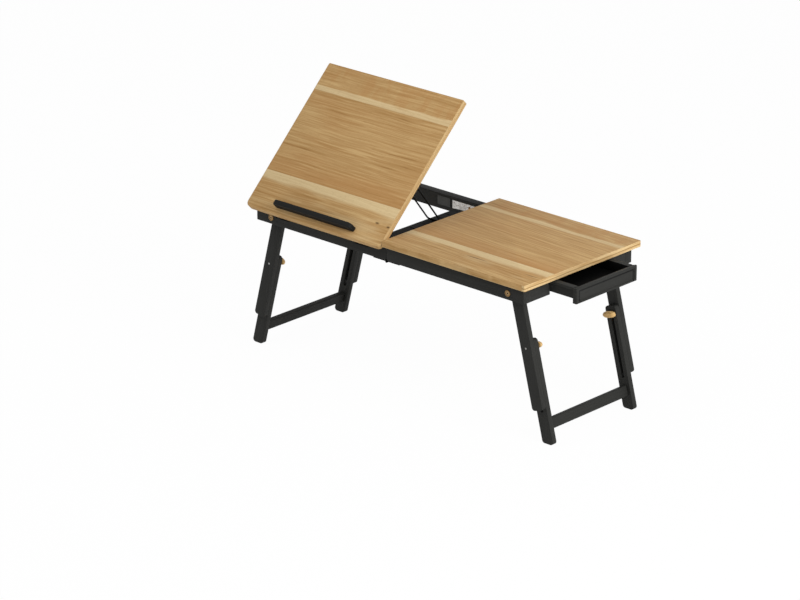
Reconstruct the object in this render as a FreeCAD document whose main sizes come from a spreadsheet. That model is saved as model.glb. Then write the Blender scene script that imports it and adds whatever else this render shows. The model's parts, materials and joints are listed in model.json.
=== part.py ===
"""Folding bed desk on two slotted leg frames, with a tilting half and a drawer half.

X runs along the desk from the tilting half to the drawer half, with the fold at X 0.
Y runs from the front edge to the rear edge, and Z is up from the floor.
"""
import FreeCAD, Part
import math
import os
import re
import Sketcher
from FreeCAD import Placement, Rotation, Vector

# Every driving dimension, in millimetres and degrees.
SIZES = {
    # tops
    "desk_height": 325,
    "half_length": 363,
    "fold_gap": 0.5,
    "top_depth": 340,
    "top_thick": 12,
    "top_corner": 3,
    "tilt_corner": 12,
    "top_edge": 0.8,
    # rails and end boards
    "rail_height": 32,
    "rail_thick": 19,
    "rail_length": 350,
    "rail_setback": 13,
    "rail_edge": 0.8,
    "stop_gap": 0.3,
    # leg frames
    "pivot_inset": 39.5,
    "pivot_rise": 13,
    "leg_splay": 14.6,
    "leg_width": 26,
    "leg_thick": 11,
    "leg_corner": 6,
    "round_spare": 0.1,
    "washer_gap": 2,
    "slide_gap": 0.3,
    "upper_reach": 235,
    "bolt_reach": 113,
    "lower_top": 97.5,
    "slot_width": 7.6,
    "slot_length": 124.5,
    "rung_rise": 25,
    "rung_width": 22,
    "rung_thick": 11,
    # leg hardware
    "pivot_shank": 6,
    "pivot_head": 13,
    "pivot_head_tall": 2.2,
    "socket_across": 5,
    "socket_deep": 1.4,
    "nut_across": 11.4,
    "nut_tall": 4,
    "running_gap": 0.05,
    "washer_wide": 14,
    "washer_play": 0.1,
    "height_shank": 4.6,
    "height_proud": 0.7,
    "knob_long": 26,
    "knob_wide": 12.5,
    "knob_grip": 9,
    "knob_edge": 2.6,
    "knob_collar": 11,
    "knob_collar_tall": 3,
    "knob_gap": 0.3,
    "bolt_bite": 9,
    "catch_reach": 101,
    "catch_long": 33,
    "catch_tall": 18,
    "catch_thick": 1.5,
    "catch_rise": 9,
    # centre fold hinges
    "fold_relief": 4,
    "fold_drop": 1.4,
    "fold_knuckle": 5.6,
    "fold_leaf_long": 34,
    "fold_leaf_thick": 1.2,
    "fold_pin": 2.4,
    "knuckle_gap": 0.2,
    # tilting half
    "tilt_angle": 44.6,
    "hinge_inset": 11,
    "hinge_drop": 2,
    "tilt_knuckle": 3.4,
    "tilt_pin": 1.6,
    "tilt_leaf_thick": 1.2,
    "tilt_leaf_long": 36,
    "rail_leaf_tall": 14,
    "desk_leaf_deep": 9,
    "tilt_hinge_near": 48,
    "tilt_hinge_far": 54,
    "ledge_near": 77,
    "ledge_long": 210,
    "ledge_inset": 14,
    "ledge_thick": 10,
    "ledge_tall": 20,
    "ledge_round": 10,
    "ledge_edge": 1.2,
    # wire prop and its rack
    "prop_reach": 140,
    "prop_drop": 3.6,
    "prop_arm": 124.3,
    "prop_angle": 51.8,
    "wire_thick": 3,
    "wire_bend": 5,
    "wire_span": 35,
    "wire_ear": 14,
    "prop_middle": 36,
    "clip_wide": 7,
    "clip_deep": 9,
    "clip_wall": 1.6,
    "rack_wide": 44,
    "rack_thick": 1.2,
    "rack_drop": 9,
    "rack_rise": 3.5,
    "rack_step": 107,
    "rack_ramp": 5,
    "rack_tab": 13,
    "rack_arm_wide": 16,
    "rack_arm_start": 100,
    "ridge_wide": 26,
    "ridge_tall": 1,
    "ridge_near": 36,
    "ridge_far": 106,
    "notch_pitch": 24,
    "notch_first": -3.6,
    "notch_wide": 3.4,
    "notch_deep": 0.6,
    "plate_near": 3,
    "plate_long": 91,
    "plate_tall": 17,
    "plate_rise": 9,
    "plate_thick": 1.5,
    # drawer
    "opening_wide": 164,
    "drawer_gap": 1,
    "drawer_out": 60.5,
    "drawer_deep": 216,
    "drawer_rise": 6,
    "drawer_tall": 24,
    "drawer_side": 8,
    "drawer_back": 8,
    "drawer_floor": 3,
    "floor_rise": 1.5,
    "flange_wide": 5,
    "flange_tall": 6,
    "runner_gap": 0.3,
    "runner_wall": 10.5,
    "runner_ledge": 5.5,
    "runner_long": 193.6,
    "front_thick": 10,
    "front_wide": 176,
    "front_tall": 31.2,
    "front_rise": -0.5,
    "field_side": 6,
    "field_top": 4.5,
    "field_deep": 1.8,
    "rebate_deep": 5,
    "rebate_tall": 1.6,
    "front_play": 0.3,
    "stop_tall": 4,
    "stop_deep": 8,
    "stop_inset": 47.5,
    "stop_wide": 120,
}

UNDERSIDE = "(desk_height - top_thick)"
RAIL_BOTTOM = f"({UNDERSIDE} - rail_height)"
RAIL_FRONT = "(top_depth / 2 - rail_setback)"
RAIL_INNER = f"({RAIL_FRONT} - rail_thick)"
RAIL_MIDDLE = f"({RAIL_FRONT} - rail_thick / 2)"
PIVOT_HEIGHT = f"({RAIL_BOTTOM} + pivot_rise)"
PIVOT_REACH = "(rail_length - pivot_inset)"
LEG_OUTER = f"({RAIL_INNER} - washer_gap)"
UPPER_MIDDLE = f"({LEG_OUTER} - leg_thick / 2)"
LOWER_OUTER = f"({LEG_OUTER} - leg_thick - slide_gap)"
LOWER_MIDDLE = f"({LOWER_OUTER} - leg_thick / 2)"
LOWER_INNER = f"({LOWER_OUTER} - leg_thick)"
COSINE = "cos(leg_splay * 1deg)"
SINE = "sin(leg_splay * 1deg)"
FLOOR_REACH = f"({PIVOT_HEIGHT} / {COSINE})"
# The end boards stop the legs, so their inner faces touch the legs' outer edges at the rail's foot.
BOARD_INNER = (f"({PIVOT_REACH} + leg_width / 2 / {COSINE}"
               f" + pivot_rise * tan(leg_splay * 1deg) + stop_gap)")
HINGE_Y = "(hinge_inset - top_depth / 2)"
HINGE_Z = f"({UNDERSIDE} - hinge_drop)"
FOLD_AXIS = f"({RAIL_BOTTOM} - fold_drop)"
DRAWER_BOTTOM = f"({RAIL_BOTTOM} + drawer_rise)"
DRAWER_HALF = "(opening_wide / 2 - drawer_gap)"
FLANGE_BOTTOM = f"({DRAWER_BOTTOM} + drawer_tall - flange_tall)"
RUNNER_SEAT = f"({FLANGE_BOTTOM} - runner_gap)"
GROOVE_HALF = f"({DRAWER_HALF} + flange_wide + drawer_gap)"
FRONT_BACK = "(rail_length + front_play + drawer_out)"

# Limits within which an edge counts as parallel to an axis, and as level with a face.
PARALLEL = 0.999
LEVEL = 0.01
# The kind of corner that a swept wire gets.
MITRED = 1

NOTCHES = 5

RIGHT, LEFT = 1, -1
FRONT, REAR = -1, 1
SIDE_NAMES = {RIGHT: "right", LEFT: "left"}
END_NAMES = {FRONT: "front", REAR: "rear"}
X_AXIS, Y_AXIS, Z_AXIS = Vector(1, 0, 0), Vector(0, 1, 0), Vector(0, 0, 1)

doc = FreeCAD.newDocument("bed_desk")
parts = []


def make_sheet():
    """Write each driving dimension into the spreadsheet under its own name."""
    sheet = doc.addObject("Spreadsheet::Sheet", "Sizes")
    for row, (alias, value) in enumerate(SIZES.items(), 1):
        sheet.set(f"A{row}", alias)
        sheet.set(f"B{row}", str(value))
        sheet.setAlias(f"B{row}", alias)
    doc.recompute()
    return sheet


sheet = make_sheet()


def sized(text):
    """Point each size named in an expression at its cell."""
    def cell(match):
        word = match.group()
        return f"Sizes.{word}" if word in SIZES else word

    return re.sub(r"[a-z][a-z_]*", cell, str(text))


def value(text):
    """Work out an expression of sizes as a number."""
    result = sheet.evalExpression(sized(text))
    return float(getattr(result, "Value", result))


def bind(item, **paths):
    """Tie an object's properties to expressions of sizes."""
    for path, text in paths.items():
        item.setExpression(path, sized(text))


def place(item, x="0", y="0", z="0", axis=None, turn="0"):
    """Place a sub-part by expressions, turned about one axis."""
    if axis is not None:
        item.Placement = Placement(Vector(), Rotation(axis, 1))
        item.setExpression("Placement.Rotation.Angle", sized(turn))
    for letter, text in zip("xyz", (x, y, z)):
        item.setExpression(f"Placement.Base.{letter}", sized(text))
    return item


def part(kind, label):
    """Start a sub-part that is written out under its own label."""
    item = doc.addObject(kind, label)
    item.Label = label
    parts.append(item)
    return item


def sketch_on(body, plane, lift="0"):
    """Start a sketch on one of the body's origin planes, lifted along its normal."""
    sketch = body.newObject("Sketcher::SketchObject", body.Name + "_sketch")
    support = next(item for item in body.Origin.OriginFeatures if item.Role == plane)
    sketch.AttachmentSupport = (support, [""])
    sketch.MapMode = "FlatFace"
    sketch.setExpression("AttachmentOffset.Base.z", sized(lift))
    return sketch


def fix_point(sketch, edge, vertex, x, y):
    """Hold one sketch point at a distance from the sketch's origin."""
    for kind, text in (("DistanceX", x), ("DistanceY", y)):
        index = sketch.addConstraint(Sketcher.Constraint(kind, -1, 1, edge, vertex, value(text)))
        sketch.setExpression(f"Constraints[{index}]", sized(text))


def draw_outline(sketch, corners):
    """Draw a closed outline through corners given as expressions."""
    first = sketch.GeometryCount
    points = [Vector(value(x), value(y), 0) for x, y in corners]
    count = len(points)
    for index in range(count):
        line = Part.LineSegment(points[index], points[(index + 1) % count])
        sketch.addGeometry(line, False)
    for index, (x, y) in enumerate(corners):
        following = (index + 1) % count
        sketch.addConstraint(
            Sketcher.Constraint("Coincident", first + index, 2, first + following, 1))
        fix_point(sketch, first + index, 1, x, y)


def draw_circle(sketch, x, y, diameter):
    """Draw a circle by its centre and diameter."""
    edge = sketch.GeometryCount
    centre = Vector(value(x), value(y), 0)
    sketch.addGeometry(Part.Circle(centre, Z_AXIS, value(diameter) / 2), False)
    fix_point(sketch, edge, 3, x, y)
    index = sketch.addConstraint(Sketcher.Constraint("Diameter", edge, value(diameter)))
    sketch.setExpression(f"Constraints[{index}]", sized(diameter))


def rectangle(x0, y0, x1, y1):
    """Give the corners of a rectangle."""
    return [(x0, y0), (x1, y0), (x1, y1), (x0, y1)]


def pad(body, sketch, length, centred=False):
    """Pad a sketch, from its plane or to both sides of it."""
    feature = body.newObject("PartDesign::Pad", body.Name + "_pad")
    feature.Profile = sketch
    bind(feature, Length=length)
    feature.Midplane = centred
    doc.recompute()


def prism(label, plane, corners, length, centred=True):
    """Make a sub-part as an outline of even thickness."""
    body = part("PartDesign::Body", label)
    sketch = sketch_on(body, plane)
    draw_outline(sketch, corners)
    pad(body, sketch, length, centred)
    return body


def cut(body, sketch, depth=None, flipped=False):
    """Cut a sketch into a sub-part, right through it unless a depth is given."""
    before = body.Tip.Shape.Volume
    feature = body.newObject("PartDesign::Pocket", body.Name + "_cut")
    feature.Profile = sketch
    if depth is None:
        feature.Type = "ThroughAll"
        feature.Midplane = True
    else:
        bind(feature, Length=depth)
        feature.Reversed = flipped
    doc.recompute()
    if feature.Shape.Volume >= before:
        raise ValueError(f"{body.Label}: {feature.Name} removes nothing")


def cut_through(body, plane, draw, *shape):
    """Cut a shape all the way through a sub-part."""
    sketch = sketch_on(body, plane)
    draw(sketch, *shape)
    cut(body, sketch)


def soften(body, kind, size, chosen):
    """Fillet or chamfer the edges of a sub-part that a test chooses."""
    base = body.Tip
    edges = [f"Edge{number}" for number, edge in enumerate(base.Shape.Edges, 1) if chosen(edge)]
    feature = body.newObject("PartDesign::" + kind, body.Name + "_" + kind.lower())
    feature.Base = (base, edges)
    bind(feature, **{"Radius" if kind == "Fillet" else "Size": size})
    doc.recompute()


def runs_along(edge, axis):
    """Tell whether a straight edge lies along an axis."""
    if edge.Curve.TypeId != "Part::GeomLine":
        return False
    return abs(edge.tangentAt(edge.FirstParameter).dot(axis)) > PARALLEL


def cylinder(label, diameter, height, x="0", y="0", z="0", axis=None, turn="0"):
    """Make a plain cylinder as a step of a sub-part."""
    item = doc.addObject("Part::Cylinder", label)
    bind(item, Radius=f"({diameter}) / 2", Height=height)
    return place(item, x, y, z, axis, turn)


def cuboid(label, length, width, height, x="0", y="0", z="0"):
    """Make a plain box as a step of a sub-part."""
    item = doc.addObject("Part::Box", label)
    bind(item, Length=length, Width=width, Height=height)
    return place(item, x, y, z)


def fused(label, pieces):
    """Join steps into one solid."""
    item = doc.addObject("Part::MultiFuse", label)
    item.Shapes = pieces
    return item


def without(label, base, tool):
    """Cut one step out of another."""
    item = doc.addObject("Part::Cut", label)
    item.Base = base
    item.Tool = tool
    return item


def group(label, pieces):
    """Gather alike separate solids into one sub-part."""
    item = part("Part::Compound", label)
    item.Links = pieces
    doc.recompute()
    return item


# ---------------------------------------------------------------- tops, rails and boards

def fixed_top():
    """The level half of the top, square at the fold."""
    corners = rectangle("fold_gap", "-top_depth / 2", "half_length", "top_depth / 2")
    body = prism("fixed_top", "XY_Plane", corners, "top_thick", centred=False)
    middle = value("half_length / 2")
    soften(body, "Fillet", "top_corner",
           lambda edge: runs_along(edge, Z_AXIS) and edge.CenterOfMass.x > middle)
    fold_face = value("fold_gap") + LEVEL
    soften(body, "Chamfer", "top_edge",
           lambda edge: edge.CenterOfMass.x > fold_face and not runs_along(edge, Z_AXIS))
    place(body, z=UNDERSIDE)


def rail(side, end):
    """A long rail under one edge of the top, relieved at its foot for the fold hinge."""
    corners = [(f"{side} * (fold_gap + fold_relief)", "0"), (f"{side} * rail_length", "0"),
               (f"{side} * rail_length", "rail_height"), (f"{side} * fold_gap", "rail_height"),
               (f"{side} * fold_gap", "fold_relief")]
    body = prism(f"{SIDE_NAMES[side]}_{END_NAMES[end]}_rail", "XZ_Plane", corners, "rail_thick")
    cut_through(body, "XZ_Plane", draw_circle, f"{side} * {PIVOT_REACH}", "pivot_rise",
                "pivot_shank")
    place(body, y=f"{end} * {RAIL_MIDDLE}", z=RAIL_BOTTOM)


def right_end_board(end):
    """A short board beside the drawer opening, notched for the drawer's flange."""
    corners = [(f"{end} * {RAIL_INNER}", "0"), (f"{end} * opening_wide / 2", "0"),
               (f"{end} * opening_wide / 2", f"{RUNNER_SEAT} - {RAIL_BOTTOM}"),
               (f"{end} * {GROOVE_HALF}", f"{RUNNER_SEAT} - {RAIL_BOTTOM}"),
               (f"{end} * {GROOVE_HALF}", "rail_height"), (f"{end} * {RAIL_INNER}", "rail_height")]
    body = prism(f"right_{END_NAMES[end]}_end_board", "YZ_Plane", corners,
                 f"rail_length - {BOARD_INNER}", centred=False)
    place(body, x=BOARD_INNER, z=RAIL_BOTTOM)


def left_end_board():
    """The full board that closes the tilting half's outer end and stops its legs."""
    corners = rectangle(f"-{RAIL_INNER}", "0", RAIL_INNER, "rail_height")
    body = prism("left_end_board", "YZ_Plane", corners,
                 f"rail_length - {BOARD_INNER}", centred=False)
    place(body, x="-rail_length", z=RAIL_BOTTOM)


# ---------------------------------------------------------------- legs

def lean(body, side, middle, end):
    """Hang a leg piece on its pivot, splayed outwards."""
    place(body, x=f"{side} * {PIVOT_REACH}", y=f"{end} * {middle}", z=PIVOT_HEIGHT,
          axis=Y_AXIS, turn=f"{-side} * leg_splay")


def upper_leg(side, end):
    """The outer half of a leg, with its pivot bore, nut pocket and height bolt bore."""
    corners = rectangle("-leg_width / 2", "-upper_reach", "leg_width / 2", "leg_width / 2")
    name = f"{SIDE_NAMES[side]}_{END_NAMES[end]}_upper_leg"
    body = prism(name, "XZ_Plane", corners, "leg_thick")
    soften(body, "Fillet", "leg_width / 2 - round_spare",
           lambda edge: runs_along(edge, Y_AXIS) and edge.CenterOfMass.z > 0)
    soften(body, "Fillet", "leg_corner",
           lambda edge: runs_along(edge, Y_AXIS) and edge.CenterOfMass.z < value("-bolt_reach"))
    cut_through(body, "XZ_Plane", draw_circle, "0", "0", "pivot_shank + 2 * running_gap")
    cut_through(body, "XZ_Plane", draw_circle, "0", "-bolt_reach", "height_shank")
    # The retaining nut sits below the inner face, so that the lower leg can pass it.
    sketch = sketch_on(body, "XZ_Plane", lift=f"{end} * leg_thick / 2")
    draw_circle(sketch, "0", "0", "nut_across + 2 * knob_gap")
    cut(body, sketch, "nut_tall + knob_gap", flipped=end == FRONT)
    lean(body, side, UPPER_MIDDLE, end)


def lower_leg(side, end):
    """The inner half of a leg, slotted for the height bolt and cut level with the floor."""
    slant = f"{side} * leg_width / 2 * tan(leg_splay * 1deg)"
    corners = [("-leg_width / 2", f"-{FLOOR_REACH} + {slant}"),
               ("leg_width / 2", f"-{FLOOR_REACH} - {slant}"),
               ("leg_width / 2", "-lower_top"), ("-leg_width / 2", "-lower_top")]
    name = f"{SIDE_NAMES[side]}_{END_NAMES[end]}_lower_leg"
    body = prism(name, "XZ_Plane", corners, "leg_thick")
    soften(body, "Fillet", "leg_corner", lambda edge: runs_along(edge, Y_AXIS))
    corners = rectangle("-slot_width / 2", "-bolt_reach - slot_length",
                        "slot_width / 2", "-bolt_reach")
    cut_through(body, "XZ_Plane", draw_outline, corners)
    cut_through(body, "XZ_Plane", draw_circle, "0", "-bolt_reach", "slot_width")
    cut_through(body, "XZ_Plane", draw_circle, "0", "-bolt_reach - slot_length", "slot_width")
    lean(body, side, LOWER_MIDDLE, end)


def rung(side):
    """The bar that joins a pair of lower legs near the floor."""
    foot = f"(-{FLOOR_REACH} + rung_rise / {COSINE})"
    corners = rectangle("-rung_thick / 2", foot, "rung_thick / 2", f"{foot} + rung_width")
    body = prism(f"{SIDE_NAMES[side]}_rung", "XZ_Plane", corners, f"2 * {LOWER_INNER}")
    soften(body, "Fillet", "rung_thick / 4", lambda edge: runs_along(edge, Y_AXIS))
    lean(body, side, "0", FRONT)


def turned_to(end):
    """Give the turn about X that points a cylinder from the rail towards the middle."""
    return f"{end} * 90"


def hexagon(label, across, height, **spot):
    """Make a six-sided prism, measured across its corners, as a step of a sub-part."""
    item = doc.addObject("Part::Prism", label)
    item.Polygon = 6
    bind(item, Circumradius=f"({across}) / 2", Height=height)
    return place(item, **spot)


def pivot_spot(side, end):
    """Give the line of a leg pivot, less its height on that line."""
    return {"x": f"{side} * {PIVOT_REACH}", "z": PIVOT_HEIGHT, "axis": X_AXIS, "turn": turned_to(end)}


def pivot_bolts(side):
    """Socket-head bolts through the rails, on which the legs swing."""
    bolts = []
    for end in (FRONT, REAR):
        name = f"{SIDE_NAMES[side]}_{END_NAMES[end]}_pivot"
        spot = pivot_spot(side, end)
        head = cylinder(name + "_head", "pivot_head", "pivot_head_tall",
                        y=f"{end} * ({RAIL_FRONT} + pivot_head_tall)", **spot)
        shank = cylinder(name + "_shank", "pivot_shank",
                         "rail_thick + washer_gap + leg_thick - knob_gap",
                         y=f"{end} * {RAIL_FRONT}", **spot)
        socket = hexagon(name + "_socket", "socket_across", "socket_deep",
                         y=f"{end} * ({RAIL_FRONT} + pivot_head_tall)", **spot)
        bolts.append(without(name + "_bolt", fused(name + "_blank", [head, shank]), socket))
    group(f"{SIDE_NAMES[side]}_pivot_bolts", bolts)


def pivot_washers(side):
    """Washers that hold the legs off the rails."""
    rings = []
    for end in (FRONT, REAR):
        name = f"{SIDE_NAMES[side]}_{END_NAMES[end]}_washer"
        spot = {"height": "washer_gap - washer_play", "y": f"{end} * {RAIL_INNER}", **pivot_spot(side, end)}
        disc = cylinder(name + "_disc", "washer_wide", **spot)
        rings.append(without(name, disc, cylinder(name + "_hole", "pivot_shank", **spot)))
    group(f"{SIDE_NAMES[side]}_pivot_washers", rings)


def pivot_nuts(side):
    """Retaining nuts sunk into the upper legs on the ends of the pivot bolts."""
    nuts = []
    for end in (FRONT, REAR):
        name = f"{SIDE_NAMES[side]}_{END_NAMES[end]}_nut"
        spot = {"height": "nut_tall - knob_gap", "y": f"{end} * ({LEG_OUTER} - leg_thick + nut_tall)",
                **pivot_spot(side, end)}
        block = hexagon(name + "_block", "nut_across", **spot)
        nuts.append(without(name, block, cylinder(name + "_hole", "pivot_shank", **spot)))
    group(f"{SIDE_NAMES[side]}_pivot_nuts", nuts)


def height_bolts(side):
    """Studs fixed in the upper legs that pass the slots of the lower legs."""
    studs = []
    for end in (FRONT, REAR):
        studs.append(cylinder(
            f"{SIDE_NAMES[side]}_{END_NAMES[end]}_height_stud", "height_shank",
            "height_proud + 2 * leg_thick + slide_gap + knob_gap + bolt_bite",
            x=f"{side} * ({PIVOT_REACH} + bolt_reach * {SINE})",
            y=f"{end} * ({LEG_OUTER} + height_proud)",
            z=f"{PIVOT_HEIGHT} - bolt_reach * {COSINE}", axis=X_AXIS, turn=turned_to(end)))
    group(f"{SIDE_NAMES[side]}_height_bolts", studs)


def knob(side, end):
    """A wooden wing knob on a round neck, set square to its leg and bored for the height stud."""
    body = part("PartDesign::Body", f"{SIDE_NAMES[side]}_{END_NAMES[end]}_knob")
    sketch = sketch_on(body, "XY_Plane")
    draw_circle(sketch, "0", "0", "knob_collar")
    pad(body, sketch, "knob_collar_tall")
    sketch = sketch_on(body, "XY_Plane", lift="knob_collar_tall")
    draw_outline(sketch, [
        (f"{x} * {COSINE} - {side * end} * ({y}) * {SINE}",
         f"{side * end} * ({x}) * {SINE} + {y} * {COSINE}")
        for x, y in rectangle("-knob_long / 2", "-knob_wide / 2", "knob_long / 2", "knob_wide / 2")])
    pad(body, sketch, "knob_grip")
    neck = value("knob_collar / 2") + LEVEL
    soften(body, "Fillet", "knob_wide / 2 - round_spare",
           lambda edge: runs_along(edge, Z_AXIS)
           and math.hypot(edge.CenterOfMass.x, edge.CenterOfMass.y) > neck)
    top = value("knob_collar_tall + knob_grip") - LEVEL
    soften(body, "Chamfer", "knob_edge", lambda edge: edge.CenterOfMass.z > top)
    sketch = sketch_on(body, "XY_Plane")
    draw_circle(sketch, "0", "0", "height_shank + 2 * running_gap")
    cut(body, sketch, "bolt_bite + knob_gap", flipped=True)
    place(body, x=f"{side} * ({PIVOT_REACH} + bolt_reach * {SINE})",
          y=f"{end} * ({LOWER_INNER} - knob_gap)", z=f"{PIVOT_HEIGHT} - bolt_reach * {COSINE}",
          axis=X_AXIS, turn=turned_to(end))


def leg_catches(side):
    """Flat magnets on the rails that hold the folded legs."""
    plates = []
    for end in (FRONT, REAR):
        start = f"{side} * (catch_reach + catch_long / 2) - catch_long / 2"
        inner = f"{end} * ({RAIL_INNER} - catch_thick / 2) - catch_thick / 2"
        plates.append(cuboid(f"{SIDE_NAMES[side]}_{END_NAMES[end]}_catch",
                             "catch_long", "catch_thick", "catch_tall",
                             x=start, y=inner, z=f"{RAIL_BOTTOM} + catch_rise"))
    group(f"{SIDE_NAMES[side]}_leg_catches", plates)


# ---------------------------------------------------------------- centre fold hinges

def fold_leaf(side, end):
    """A hinge leaf under a rail, with two knuckles on the right half and one on the left."""
    third = "(rail_thick / 3)"
    near = "(fold_knuckle / 2 + stop_gap)"
    name = f"{SIDE_NAMES[side]}_{END_NAMES[end]}_fold_leaf"
    front = f"({end} * {RAIL_MIDDLE} - rail_thick / 2)"
    plate_start = near if side == RIGHT else "(-fold_leaf_long)"
    pieces = [cuboid(name + "_plate", f"fold_leaf_long - {near}", "rail_thick", "fold_leaf_thick",
                     x=plate_start, y=front, z=f"{RAIL_BOTTOM} - fold_leaf_thick")]
    places = (0, 2) if side == RIGHT else (1,)
    for number in places:
        start = f"{front} + {number} * {third} + knuckle_gap / 2"
        pieces.append(cylinder(f"{name}_knuckle_{number}", "fold_knuckle", f"{third} - knuckle_gap",
                               y=start, z=FOLD_AXIS, axis=X_AXIS, turn="-90"))
        arm_start = "0" if side == RIGHT else f"-{near}"
        pieces.append(cuboid(f"{name}_arm_{number}", near, f"{third} - knuckle_gap",
                             "fold_leaf_thick", x=arm_start, y=start,
                             z=f"{RAIL_BOTTOM} - fold_leaf_thick"))
    play = "0" if side == RIGHT else "2 * running_gap"
    pin_hole = cylinder(name + "_bore", f"fold_pin + {play}", "rail_thick", y=front,
                        z=FOLD_AXIS, axis=X_AXIS, turn="-90")
    item = without(name, fused(name + "_blank", pieces), pin_hole)
    item.Label = name
    parts.append(item)


def fold_hinge_pins():
    """The pins of the two centre fold hinges."""
    pins = []
    for end in (FRONT, REAR):
        pins.append(cylinder(f"{END_NAMES[end]}_fold_pin", "fold_pin", "rail_thick",
                             y=f"{end} * {RAIL_MIDDLE} - rail_thick / 2", z=FOLD_AXIS,
                             axis=X_AXIS, turn="-90"))
    group("fold_hinge_pins", pins)


# ---------------------------------------------------------------- tilting half

def tilted(item):
    """Turn a piece drawn about the tilt axis to the desk's resting slope."""
    return place(item, y=HINGE_Y, z=HINGE_Z, axis=X_AXIS, turn="tilt_angle")


def tilt_top():
    """The tilting half of the top, drawn level with the tilt axis at its origin."""
    corners = rectangle("-half_length", "-hinge_inset", "-fold_gap", "top_depth - hinge_inset")
    body = part("PartDesign::Body", "tilt_top")
    sketch = sketch_on(body, "XY_Plane", lift="hinge_drop")
    draw_outline(sketch, corners)
    pad(body, sketch, "top_thick")
    soften(body, "Fillet", "tilt_corner",
           lambda edge: runs_along(edge, Z_AXIS) and edge.CenterOfMass.y < 0)
    soften(body, "Fillet", "top_corner",
           lambda edge: runs_along(edge, Z_AXIS) and edge.CenterOfMass.y > 0)
    soften(body, "Chamfer", "top_edge",
           lambda edge: not runs_along(edge, Z_AXIS))
    tilted(body)


def stop_ledge():
    """The ledge along the low edge that keeps a book from sliding off."""
    base = "(hinge_drop + top_thick)"
    corners = rectangle("-ledge_near - ledge_long", base, "-ledge_near", f"{base} + ledge_tall")
    body = part("PartDesign::Body", "stop_ledge")
    sketch = sketch_on(body, "XZ_Plane", lift="hinge_inset - ledge_inset - ledge_thick / 2")
    draw_outline(sketch, corners)
    pad(body, sketch, "ledge_thick", centred=True)
    foot = value(base) + LEVEL
    soften(body, "Fillet", "ledge_round",
           lambda edge: runs_along(edge, Y_AXIS) and edge.CenterOfMass.z > foot)
    soften(body, "Chamfer", "ledge_edge",
           lambda edge: not runs_along(edge, Y_AXIS) and edge.CenterOfMass.z > foot)
    tilted(body)


def tilt_hinge_spots():
    """Give the X at which each tilt hinge starts."""
    return {"fold": "(-tilt_hinge_near - tilt_leaf_long)", "outer": "(tilt_hinge_far - rail_length)"}


def tilt_knuckles(name, start, numbers):
    """Make the chosen thirds of a tilt hinge's barrel, about the tilt axis."""
    third = "(tilt_leaf_long / 3)"
    return [cylinder(f"{name}_knuckle_{number}", "tilt_knuckle", f"{third} - knuckle_gap",
                     x=f"{start} + {number} * {third} + knuckle_gap / 2", axis=Y_AXIS, turn="90")
            for number in numbers]


def tilt_rail_leaves():
    """Hinge leaves on the front rail's face, each with two knuckles at the tilt axis."""
    leaves = []
    back = "(rail_setback - hinge_inset)"
    third = "(tilt_leaf_long / 3)"
    for spot, start in tilt_hinge_spots().items():
        name = f"{spot}_rail_leaf"
        clear = "(tilt_knuckle / 2 + stop_gap)"
        pieces = tilt_knuckles(name, start, (0, 2))
        pieces.append(cuboid(name + "_plate", "tilt_leaf_long", "tilt_leaf_thick",
                             f"rail_leaf_tall - {clear}", x=start,
                             y=f"{back} - tilt_leaf_thick", z="-rail_leaf_tall"))
        for number in (0, 2):
            pieces.append(cuboid(f"{name}_arm_{number}", f"{third} - knuckle_gap", "tilt_leaf_thick",
                                 clear, x=f"{start} + {number} * {third} + knuckle_gap / 2",
                                 y=f"{back} - tilt_leaf_thick", z=f"-{clear}"))
        bore = cylinder(name + "_bore", "tilt_pin", "tilt_leaf_long", x=start, axis=Y_AXIS, turn="90")
        leaves.append(without(name, fused(name + "_blank", pieces), bore))
    place(group("tilt_hinge_rail_leaves", leaves), y=HINGE_Y, z=HINGE_Z)


def tilt_desk_leaves():
    """Hinge leaves under the tilting top, each with one knuckle at the tilt axis."""
    leaves = []
    third = "(tilt_leaf_long / 3)"
    for spot, start in tilt_hinge_spots().items():
        name = f"{spot}_desk_leaf"
        clear = "(tilt_knuckle / 2 + stop_gap)"
        under = "(hinge_drop - tilt_leaf_thick)"
        pieces = tilt_knuckles(name, start, (1,))
        pieces.append(cuboid(name + "_plate", "tilt_leaf_long", f"desk_leaf_deep - {clear}",
                             "tilt_leaf_thick", x=start, y="-desk_leaf_deep", z=under))
        pieces.append(cuboid(name + "_arm", f"{third} - knuckle_gap", clear, "tilt_leaf_thick",
                             x=f"{start} + {third} + knuckle_gap / 2", y=f"-{clear}", z=under))
        bore = cylinder(name + "_bore", "tilt_pin + 2 * running_gap", "tilt_leaf_long", x=start,
                        axis=Y_AXIS, turn="90")
        leaves.append(without(name, fused(name + "_blank", pieces), bore))
    tilted(group("tilt_hinge_desk_leaves", leaves))


def tilt_hinge_pins():
    """The pins of the two tilt hinges."""
    pins = [cylinder(f"{spot}_tilt_pin", "tilt_pin", "tilt_leaf_long", x=start, axis=Y_AXIS, turn="90")
            for spot, start in tilt_hinge_spots().items()]
    place(group("tilt_hinge_pins", pins), y=HINGE_Y, z=HINGE_Z)


def prop_clips():
    """Saddles under the tilting top in which the wire prop swings."""
    clips = []
    foot = "(prop_drop + wire_thick / 2 + clip_wall)"
    for name, start in (("outer", "-prop_middle - wire_span / 2 - wire_ear"),
                        ("fold", "-prop_middle + wire_span / 2 + wire_ear - clip_wide")):
        block = cuboid(f"{name}_clip_block", "clip_wide", "clip_deep", f"hinge_drop + {foot}",
                       x=start, y="prop_reach - clip_deep / 2", z=f"-{foot}")
        bore = cylinder(f"{name}_clip_bore", "wire_thick + 2 * running_gap", "clip_wide", x=start,
                        y="prop_reach", z="-prop_drop", axis=Y_AXIS, turn="90")
        clips.append(without(f"{name}_clip", block, bore))
    tilted(group("prop_clips", clips))


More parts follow.
